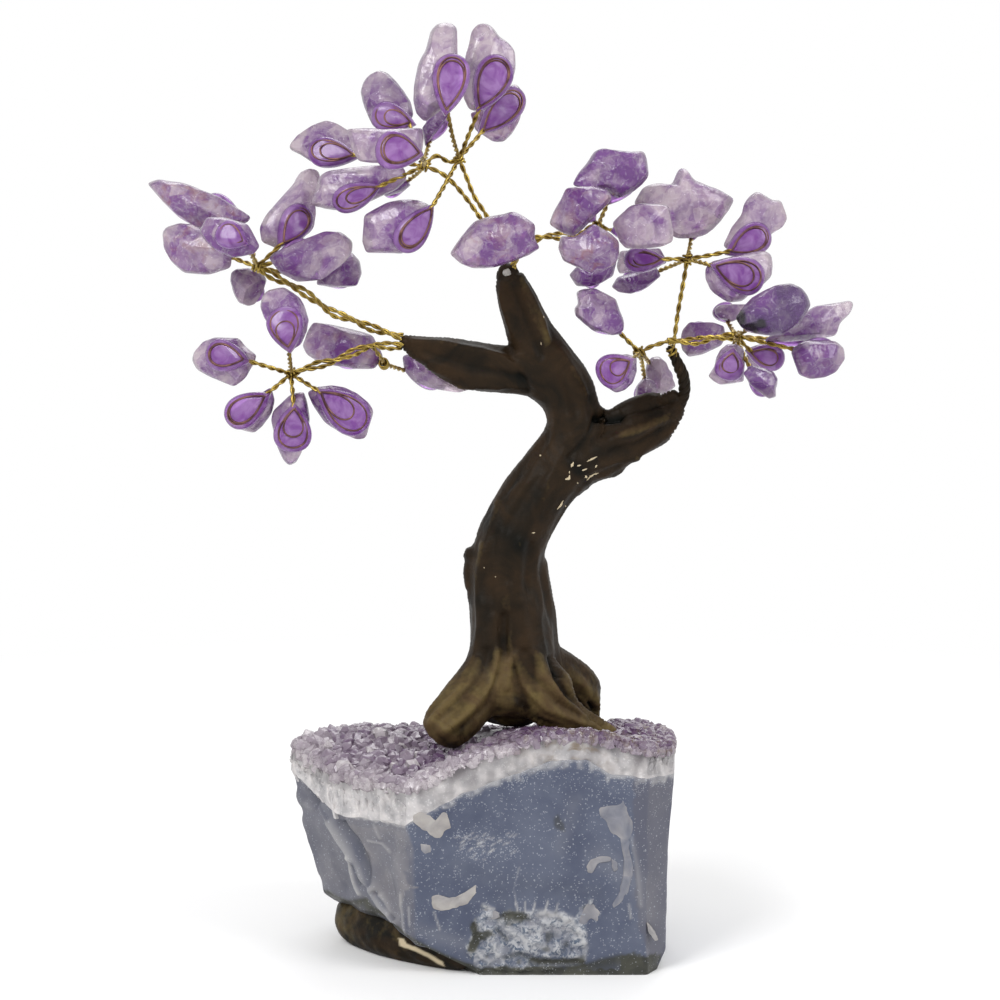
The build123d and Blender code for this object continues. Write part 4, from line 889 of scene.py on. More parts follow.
for number, (bough, made) in enumerate(boughs.items()):
    node = nodePrefix(bough)
    lines = [smoothLine(placesAt(route), wire["spacing"]) for route in made["routes"]]
    first = lines[0]
    backwards = unit(first[0] - first[3])
    lead = first[0] + backwards * np.arange(int(wire["bendLead"] / wire["spacing"]), 0, -1)[:, None] * wire["spacing"]
    first = np.concatenate([lead, first])
    strands, guide = bundleStrands(first, made["pairs"])
    cut = len(lead) + int(wire["bendRun"] / wire["spacing"])
    bend = buildPiece(bough + ".bendWires", joined([tubeShell(s[:cut + 1], wire["radius"], wire["sides"], guide)
                                                    for s in strands]), brassWire)
    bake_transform(bend)
    shells = [tubeShell(s[cut:], wire["radius"], wire["sides"], guide) for s in strands]
    for line in lines[1:]:
        more, guide = bundleStrands(line, 1)
        shells += [tubeShell(s, wire["radius"], wire["sides"], guide) for s in more]
    hubs = []
    for route, point in made["knots"]:
        place, before = placesAt([made["routes"][route][point], made["routes"][route][point - 1]])
        hubs.append(place)
        shells.append(knotShell(place, before))
    loops, drops, stones = [], [], {}
    for k, leaf in enumerate(made["leaves"]):
        seed = 100 * number + 7 * k
        shells += stemShells(leaf, hubs[leaf.get("hub", 0)])
        loops += loopShells(leaf)
        drops.append(dropShell(leaf, seed))
        stones.setdefault(leaf["node"], []).append(stoneShell(leaf, seed))
    wires = buildPiece(bough + ".wires", joined(shells), brassWire)
    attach(wires, node)
    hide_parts(node + "_wires")
    rings = buildPiece(bough + ".loops", joined(loops), loopWire)
    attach(rings, node)
    beads = buildPiece(bough + ".resinDrops", joined(drops), violetResin)
    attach(beads, node)
    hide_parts(node + "_resin_drops")
    for part, group in stones.items():
        piece = buildPiece(bough + "." + part, joined(group), amethyst, sharpAbove=stone["sharpEdge"])
        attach(piece, node)
        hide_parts(f"{node}_{part}")
    print(bough, "bough built,", len(made["leaves"]), "stones")

# Trunk, limbs and roots: putty pressed over the wires. Along each: a pixel, a depth share, and half the width and
# half the depth in pixels.
treeForm = {
    "pixel": 0.0002,
    "voxel": 0.0004,
    "smoothing": 4,
    "sides": 40,
    "webbing": 0.0010,  # how far the putty fills the creases between limbs
    "fitRounds": 5,
    "fitStep": 0.8,
    "fitReach": 0.001,
    "foldSpacing": 0.0015,  # of the points along a limb that folds are measured from
    "foldReach": 0.0012,
    "foldStretch": 0.18,
    "foldDepth": 0.00036,
    "fineDepth": 0.00015,
    "foldSize": 0.0034,
    "fineSize": 0.0012,
    "limbs": {
        "trunk": [(508, 706, 0, 34, 29), (510, 690, 0, 43, 35), (512, 668, 0, 42, 36), (512, 640, 0, 39, 37),
            (507, 602, 0, 37, 37), (506, 572, 0, 35, 36), (510, 545, 0, 34, 35), (522, 518, 0, 33, 34),
            (540, 490, 0, 32, 33), (560, 463, 0.01, 32, 32), (575, 437, 0.01, 27, 29), (579, 420, 0.01, 22, 26)],
        "leftRoot": [(489, 604, -0.055, 11, 18), (489, 636, -0.062, 16, 21), (486, 664, -0.08, 21, 22),
            (475, 690, -0.12, 25, 23), (460, 711, -0.17, 26, 21), (449, 723, -0.2, 25, 19),
            (443, 731, -0.22, 22, 15)],
        "rightRoot": [(525, 600, -0.052, 10, 18), (527, 634, -0.06, 15, 21), (533, 666, -0.08, 22, 22),
            (543, 690, -0.1, 28, 22), (556, 707, -0.11, 24, 19), (575, 719, -0.1, 16, 14), (596, 727, -0.09, 10, 9),
            (613, 733, -0.08, 5, 5)],
        "rearRoot": [(537, 652, 0.05, 14, 16), (557, 672, 0.11, 22, 22), (574, 690, 0.16, 26, 24),
            (580, 708, 0.19, 22, 22), (582, 724, 0.2, 19, 18)],
        "backRidge": [(537, 566, 0.03, 7, 9), (542, 592, 0.035, 8, 11), (545, 616, 0.04, 9, 12),
            (546, 648, 0.045, 8, 12), (546, 668, 0.05, 6, 9)],
        "leftLimb": [(562, 392, 0.01, 21, 20), (534, 374, 0, 22, 20), (504, 370, -0.01, 22, 19),
            (474, 366, -0.02, 23, 18), (446, 358, -0.03, 19, 15), (422, 349, -0.035, 12, 11),
            (405, 342, -0.04, 6, 6)],
        "centreLimb": [(575, 430, 0.01, 25, 26), (570, 394, 0.01, 25, 24), (551, 362, 0.01, 24, 23),
            (534, 338, 0.005, 22, 21), (523, 316, 0, 20, 19), (514, 293, 0, 17, 16), (509, 279, 0, 12, 12),
            (508, 270, 0, 8, 8)],
        "rightLimb": [(576, 462, 0.02, 24, 24), (601, 447, 0.04, 28, 25), (630, 431, 0.05, 27, 24),
            (653, 419, 0.06, 25, 22), (668, 410, 0.06, 18, 16), (678, 399, 0.06, 9, 9)],
        "tornEdge": [(598, 462, 0.03, 12, 9), (608, 467, 0.03, 9, 6), (615, 470, 0.03, 4.5, 3)],
        "between": [(506, 636, -0.035, 12, 18), (507, 664, -0.065, 17, 19), (507, 688, -0.1, 20, 18),
            (507, 703, -0.125, 22, 15)],
        "scab": [(474, 556, 0, 5, 8), (470, 561, 0, 3, 5), (468, 572, 0, 3, 5), (470, 584, 0, 3, 6)],
    },
    # folds pressed into the front: the line's pixels, its width in pixels, its rise in metres
    "strokes": [
        ([505,618, 504,636, 506,652], 6, -0.0009), ([509,585, 510,620, 510,655, 507,688], 3.5, 0.0005),
        ([551,658, 556,678, 566,694, 585,711, 604,725], 3.5, -0.0013),
        ([498,652, 491,684, 472,708, 448,730], 3.5, 0.0006), ([489,650, 481,678, 461,700, 438,720], 3.5, -0.0005),
        ([479,660, 468,684, 449,703, 431,722], 3.5, 0.0005), ([496,676, 486,704, 462,728], 3, -0.0004),
        ([516,655, 524,686, 545,708, 582,723], 3.5, 0.0006), ([526,652, 535,680, 556,702, 590,721], 3.5, -0.0005),
        ([537,652, 545,676, 563,696, 588,714], 3.5, 0.0005), ([513,668, 517,698, 532,716, 562,727], 3, -0.0004),
        ([484,545, 480,580, 482,615, 484,645], 4, 0.0004), ([494,535, 491,570, 493,610], 5, -0.0004),
        ([530,545, 526,575, 530,612, 538,650], 4, -0.0005), ([520,540, 518,575, 520,610, 522,645], 4, 0.0003),
        ([499,505, 489,530, 486,552], 4, 0.0004), ([545,470, 525,495, 508,525], 6, -0.0004),
        ([563,455, 548,480, 533,510, 522,545], 5, 0.0004), ([597,418, 588,437, 570,456], 4, -0.0009),
        ([425,351, 455,362, 492,371, 520,380], 7, -0.0008), ([412,342, 445,344, 482,350, 516,364], 3, 0.0006),
        ([430,367, 458,383, 498,388], 4, 0.0004), ([509,352, 519,372, 529,392], 4, -0.0006),
        ([519,278, 532,299, 541,321, 547,342], 3.2, 0.0007), ([513,286, 522,310, 531,333, 541,355], 4, -0.0007),
        ([502,284, 505,306, 513,330], 3.5, 0.0004), ([560,352, 574,372, 586,394], 4, 0.0004),
        ([552,360, 566,384, 574,410], 5, -0.0004), ([603,411, 630,402, 656,395, 680,388], 3.5, 0.0006),
        ([603,418, 618,416], 5, -0.002), ([625,413, 650,407, 672,399], 4, -0.0008),
        ([618,437, 645,426, 668,414], 6, 0.0005), ([612,452, 640,444, 662,431], 4, -0.0006),
        ([583,452, 604,436, 626,424], 5, -0.0005), ([590,470, 612,462, 636,455], 3, 0.0006),
        ([556,671, 560,674], 2.5, -0.0009), ([590,704, 597,712], 2.5, -0.0012),
        ([570,668, 584,684, 592,706], 4, 0.0004), ([470,552, 468,556], 4, 0.0007), ([467,597, 467,602], 4, 0.0006),
    ],
    # lumps all over: height, size and seed
    "lumps": [(0.0002, 0.009, 5), (0.00004, 0.0006, 6)],
    # the edge under the right limb: its pixels and width, and the height and size of its grains
    "grainyEdge": ([578,492, 606,476, 628,464, 640,456], 7, 0.0003, 0.0014),
    # painted shade as green-black patches in hollows and under the limbs, and dragged gold with painted highlight:
    # the line's pixels, width, depth of the colour
    "dark": [
        ([492,522, 518,545], 16, 0.8), ([528,488, 548,508], 14, 0.45), ([504,640, 506,655], 7, 0.7),
        ([482,602, 520,606], 9, 0.5), ([572,464, 586,478], 9, 0.8), ([486,640, 482,672], 9, 0.45),
        ([600,452, 625,450], 8, 0.5), ([540,620, 543,650], 7, 0.5), ([448,352, 480,356], 9, 0.4),
    ],
    "gold": [
        ([507,655, 507,712], 13, 0.45), ([480,680, 460,704, 440,725], 24, 0.62),
        ([540,690, 562,712, 600,726], 22, 0.7), ([506,600, 506,690], 7, 0.36), ([512,280, 536,315, 545,345], 8, 0.34),
        ([625,432, 668,412], 9, 0.36), ([576,674, 592,700], 12, 0.32), ([430,350, 470,350], 8, 0.22),
        ([440,372, 460,382], 6, 0.3), ([560,480, 530,515, 500,555], 9, 0.12), ([504,500, 484,535, 476,575], 4, 0.3),
        ([571,370, 590,398], 4, 0.25),
    ],
}


# distance in pixels from each point to a line of pixels, and its side: 1 on the left of a line that runs down
def strokeGap(pixels, line):
    corners = pairsOf(line)
    best, side = np.full(len(pixels), 1e9), np.zeros(len(pixels))
    for a, b in zip(corners, corners[1:]):
        gap = pixels - a
        along = np.clip((gap @ (b - a)) / ((b - a) @ (b - a)), 0, 1)
        away = np.linalg.norm(gap - along[:, None] * (b - a), axis=1)
        cross = (b - a)[0] * gap[:, 1] - (b - a)[1] * gap[:, 0]
        side = np.where(away < best, np.sign(cross), side)
        best = np.minimum(best, away)
    return best, side


# 1 on a line of pixels, and exp(-(distance / width)^2) beside it
def strokeMask(pixels, line, width):
    return np.exp(-(strokeGap(pixels, line)[0] / width) ** 2)


# a limb: an oval at each place of its smooth line, its radius waved by cos(3 turn) and cos(5 turn) for folds
def limbShell(stations, seed):
    rows = np.array(stations, float)
    line = smoothLine(np.concatenate([placesAt(rows), rows[:, 3:] * treeForm["pixel"]], 1), 0.0008)
    centre, half = line[:, :3], line[:, 3:]
    ahead, side, over = stanceOf(centre, backward)
    turn = turns(treeForm["sides"])[None, :]
    run = np.linspace(0, 1, len(line))[:, None]
    wave = 1 + 0.035 * np.cos(3 * turn + 5 * run + seed) + 0.03 * np.cos(5 * turn - 3 * run + 2 * seed)
    rings = centre[:, None] + (half[:, :1] * np.cos(turn) * wave)[..., None] * side[:, None] \
        + (half[:, 1:] * np.sin(turn) * wave)[..., None] * over[:, None]
    poles = [centre[0] - ahead[0] * half[0].mean() * 0.4, centre[-1] + ahead[-1] * half[-1].mean() * 0.5]
    quads, tris = closedGrid(len(line), treeForm["sides"])
    return turnedOut((np.concatenate([rings.reshape(-1, 3), poles]), quads, tris)), (centre, half, ahead, side, over)


# the shells merged into one skin of even quads by a voxel remesh, and smoothed a little
def mergedSkin(name, shells, voxel, smoothing):
    rough = buildPiece(name, joined(shells), treeFinish)
    remesh = rough.modifiers.new("Remesh", "REMESH")
    remesh.mode, remesh.voxel_size = "VOXEL", voxel
    soften = rough.modifiers.new("Smooth", "SMOOTH")
    soften.factor, soften.iterations = 0.5, smoothing
    skin = bpy.data.meshes.new_from_object(rough.evaluated_get(bpy.context.evaluated_depsgraph_get()))
    bpy.data.objects.remove(rough)
    piece = bpy.data.objects.new(name, skin)
    skin.name = name
    bpy.context.scene.collection.objects.link(piece)
    return piece


def movePoints(mesh, points):
    mesh.vertices.foreach_set("co", points.astype(np.float32).ravel())
    mesh.update()


def pointsAndNormals(mesh):
    count = len(mesh.vertices)
    points, normals = np.empty(count * 3, np.float32), np.empty(count * 3, np.float32)
    mesh.vertices.foreach_get("co", points)
    mesh.vertex_normals.foreach_get("vector", normals)
    return points.reshape(-1, 3).astype(float), normals.reshape(-1, 3).astype(float)


# bark folds follow the nearest limbs: noise over the place across a limb and a fifth of the way along it
def barkFolds(points, centres):
    total, weights = np.zeros((2, len(points))), np.zeros(len(points))
    for k, centre in enumerate(centres):
        line = evenly(centre, treeForm["foldSpacing"])
        away = np.linalg.norm(points[:, None] - line[None], axis=2)
        near = away.argmin(1)
        ahead = unit(np.gradient(line, axis=0))[near]
        gap = points - line[near]
        along = np.einsum("ij,ij->i", gap, ahead)
        spread = gap - along[:, None] * ahead
        stretched = spread + ahead * (treeForm["foldStretch"] * (near * treeForm["foldSpacing"] + along))[:, None]
        weight = np.exp(-away.min(1) / treeForm["foldReach"])
        total[0] += weight * (1 - 2 * np.abs(lumps(stretched, treeForm["foldSize"], 3 + k)))
        total[1] += weight * lumps(stretched, treeForm["fineSize"], 20 + k)
        weights += weight
    return total / (weights + 1e-12)


# how far points lie outside the limbs: each limb's oval distance |gap| (1 - 1 / r), joined by
# -webbing log(sum exp(-distance / webbing)), which rounds the creases between them
def outsideLimbs(points, limbs):
    total = np.zeros(len(points))
    for centre, half, ahead, side, over in limbs:
        near = np.concatenate([np.linalg.norm(points[k:k + 9000, None] - centre[None], axis=2).argmin(1)
                               for k in range(0, len(points), 9000)])
        gap = points - centre[near]
        reach = np.stack([np.einsum("ij,ij->i", gap, way[near]) for way in (side, over, ahead)], -1)
        size = np.stack([half[near, 0], half[near, 1], half[near].mean(1) * 0.6], -1)
        oval = np.linalg.norm(reach / size, axis=1) + 1e-9
        total += np.exp(-np.linalg.norm(gap, axis=1) * (1 - 1 / oval) / treeForm["webbing"])
    return -treeForm["webbing"] * np.log(total)


built = [limbShell(stations, k) for k, stations in enumerate(treeForm["limbs"].values())]
centres = [limb[0] for _, limb in built]
putty = mergedSkin("treePutty", [shell for shell, _ in built], treeForm["voxel"], treeForm["smoothing"])
for _ in range(treeForm["fitRounds"]):
    points, normals = pointsAndNormals(putty.data)
    away = outsideLimbs(points, [limb for _, limb in built]).clip(-treeForm["fitReach"], treeForm["fitReach"])
    movePoints(putty.data, points - treeForm["fitStep"] * away[:, None] * normals)
points, normals = pointsAndNormals(putty.data)
broadFold, fineFold = barkFolds(points, centres[:8])
pixels = pixelsOf(points)
facing = eased(-(normals @ looking), -0.35, 0.2)
pressed = np.zeros(len(points))
for line, width, lift in treeForm["strokes"]:
    pressed += lift * facing * strokeMask(pixels, line, width)
raised = treeForm["foldDepth"] * broadFold + treeForm["fineDepth"] * fineFold + pressed
for lumpHeight, lumpSize, seed in treeForm["lumps"]:
    raised += lumpHeight * lumps(points, lumpSize, seed)
line, width, lumpHeight, lumpSize = treeForm["grainyEdge"]
raised += strokeMask(pixels, line, width) * lumpHeight * lumps(points, lumpSize, 9)
movePoints(putty.data, points + raised[:, None] * normals)
# painted highlight: part of the dragged gold lies where light catches the trunk and limbs
gold = sum(facing * level * strokeMask(pixels, line, width) for line, width, level in treeForm["gold"])
# painted shade: green-black patches in the hollows, the slot between the roots and under the limbs
dark = sum(level * strokeMask(pixels, line, width) for line, width, level in treeForm["dark"]) \
    * facing * (0.95 + 0.45 * lumps(points, 0.003, 15))
lowDown = eased(points[:, 2], 0.072, 0.044)
strokesDown = [strokeGap(pixels, [500,600, 505,700])[0] * 0.00008, 0.15 * points[:, 2], points[:, 1]]
brushed = lumps(np.stack(strokesDown, -1), 0.0005, 13)
# wear: gold dragged over what stands proud and low down, with painted highlight along the gold strokes
wear = 0.20 * broadFold + 0.16 * fineFold + 450 * np.clip(pressed, -0.0008, 0.0008) + 0.8 * gold + 0.42 * lowDown \
    + 0.2 * brushed * lowDown + 0.02
grain = np.clip(0.5 + 0.35 * fineFold + 0.3 * broadFold, 0, 1)
# the fold value is painted shade: darker where the surface is pressed in, and on the dark patches
paint = {"wear": wear, "grain": grain, "fold": np.maximum(eased(-raised, 0.0003, 0.0014), dark),
         "chip": np.zeros(len(points))}
for key, value in paint.items():
    putty.data.attributes.new(key, "FLOAT", "POINT").data.foreach_set("value", value.astype(np.float32))
putty.data.polygons.foreach_set("use_smooth", [True] * len(putty.data.polygons))
putty.data.update()
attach(putty, "root")
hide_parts("trunk", "left_limb", "centre_limb", "right_limb")
print("trunk, roots and limbs built:", len(points), "points")

# Bare slivers where the paint has chipped off: pixels along each, and its share of the width
sliverForm = {
    "lines": [
        ([587,461.5, 592,459, 597,456.5], 1.2), ([571,467, 572.5,464.5, 573.5,462], 1.5), ([577,466, 581,465], 0.8),
        ([582,470.5, 585,469.5, 587,468.5], 1.1), ([595,467.5, 597,465], 1), ([569.3,473.5, 569.5,471], 0.9),
        ([565,479.3, 569,478.5, 569.6,475], 1.6), ([585.4,475.5, 586.4,478], 1.2),
        ([586.5,480.5, 590,476.4, 594,474, 598.5,472.9], 1.3), ([577,482.5, 578,483.5], 0.7),
        ([557,509.3, 560.7,505, 563,500.5], 1.3), ([565,505.5, 565.8,506.5], 0.8), ([540,455, 541,456], 1),
        ([532,533, 535,532.5], 1.1), ([543,316, 544,318], 0.8), ([541,342, 541.3,345], 0.7),
        ([484,567, 484.3,568.5], 0.8), ([495,577, 496,576.5], 0.8),
    ],
    "width": 0.00017,
    "rise": 0.00003,
    "spacing": 0.00012,
    "sides": 6,
}


# the point where the ray through each pixel meets a piece, and the way its surface looks there
def surfaceAt(piece, pixels):
    hits = [piece.ray_cast(eye, unit(ray)) for ray in sightRays(pairsOf(pixels))]
    return np.array([hit[1] for hit in hits]), np.array([hit[2] for hit in hits])


bpy.context.view_layer.update()
slivers = []
for k, (line, size) in enumerate(sliverForm["lines"]):
    spots, facings = surfaceAt(putty, line)
    run = evenly(spots + facings * sliverForm["rise"], sliverForm["spacing"])
    taper = np.sin(np.linspace(0.25, math.pi - 0.25, len(run))) * (1 + 0.4 * lumps(run, 0.0004, k))
    shell = tubeShell(run, sliverForm["width"] * size * taper, sliverForm["sides"], facings[0])
    slivers.append(withValues(shell, wear=0, fold=0, grain=1, chip=1))
chips = buildPiece("paintChips", joined(slivers), treeFinish, smooth=False)
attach(chips, "root")

# The wires inside the trunk and limbs, down into the roots
coreForm = {"strands": 5, "apart": 0.0009, "pitch": 0.016, "limbStrands": 3, "limbApart": 0.0005, "limbPitch": 0.009}
core = []
for name, centre in list(zip(treeForm["limbs"], centres))[:8]:
    trunkLike = name == "trunk"
    inner = evenly(centre[4:-3], 0.0006)
    strands = strandLines(inner, coreForm["strands" if trunkLike else "limbStrands"],
                          coreForm["apart" if trunkLike else "limbApart"],
                          coreForm["pitch" if trunkLike else "limbPitch"], backward)
    core += [tubeShell(s, wire["radius"], wire["sides"], backward) for s in strands]
coreWires = buildPiece("coreWires", joined(core), brassWire)
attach(coreWires, "root")
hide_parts("wire_core")

# Painted-over wires on the end of the right limb, and the bare wire bound round them
spurForm = {
    "route": [(677, 409, 0.06), (684, 394, 0.05), (683, 377, 0.03), (676, 360, 0.01), (670, 347, 0.0)],
    "strands": 4,
    "apart": 0.00062,
    "pitch": 0.0062,
    "radius": 0.00062,
    "tipRadius": 0.0003,
    "bareFrom": 0.84,  # share of the route
    "bareApart": 0.0007,
    "barePitch": 0.005,
    "bindingRadius": 0.0009,
    "bindingTurns": 2,
}
line = smoothLine(placesAt(spurForm["route"]), 0.0003)
thinner = eased(np.linspace(0, 1, len(line)), 0.6, 1)
thick = spurForm["radius"] + (spurForm["tipRadius"] - spurForm["radius"]) * thinner
spurShells = []
for strand in strandLines(line, spurForm["strands"], spurForm["apart"], spurForm["pitch"], backward):
    shell = tubeShell(strand, thick * (1 + 0.12 * lumps(strand, 0.0012, 4)), 12, backward)
    value = 0.35 + 0.3 * lumps(shell[0], 0.0015, 8)
    spurShells.append(withValues(shell, wear=value, fold=0, grain=value, chip=0))
spur = buildPiece("spurWires", joined(spurShells), treeFinish)
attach(spur, "root")
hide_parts("right_spur")
top = line[int(spurForm["bareFrom"] * len(line)):]
coil = strandLines(evenly(top, 0.00006), 1, spurForm["bindingRadius"],
                   np.linalg.norm(top[-1] - top[0]) / spurForm["bindingTurns"], backward)[0]
bare = [tubeShell(s, wire["radius"], wire["sides"], backward)
        for s in strandLines(top, 3, spurForm["bareApart"], spurForm["barePitch"], backward, 0.8)]
bare.insert(0, tubeShell(coil, wire["radius"], 6, unit(top[-1] - top[0])))
binding = buildPiece("spurBinding", joined(bare), brassWire)
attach(binding, "root")

# A bead of clear glue where the wires leave the centre limb
glueForm = {"place": (507, 273, -0.03), "radius": 0.0009, "rows": 14, "columns": 24}
polar = np.linspace(0, math.pi, glueForm["rows"] + 2)[1:-1][:, None]
turn = turns(glueForm["columns"])[None, :]
ball = np.stack([np.sin(polar) * np.cos(turn), np.sin(polar) * np.sin(turn), np.cos(polar) * np.ones_like(turn)], -1)
ball = np.concatenate([ball.reshape(-1, 3), [[0, 0, 1.0], [0, 0, -1.0]]])
uneven = (1 + 0.18 * lumps(ball, 0.8, 2))[:, None]
ball = placesAt(glueForm["place"]) + ball * glueForm["radius"] * uneven * [1, 0.8, 0.9]
glue = buildPiece("glueBead", turnedOut((ball, *closedGrid(glueForm["rows"], glueForm["columns"]))), glueFinish)
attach(glue, "root")
print("core, spur and glue built")

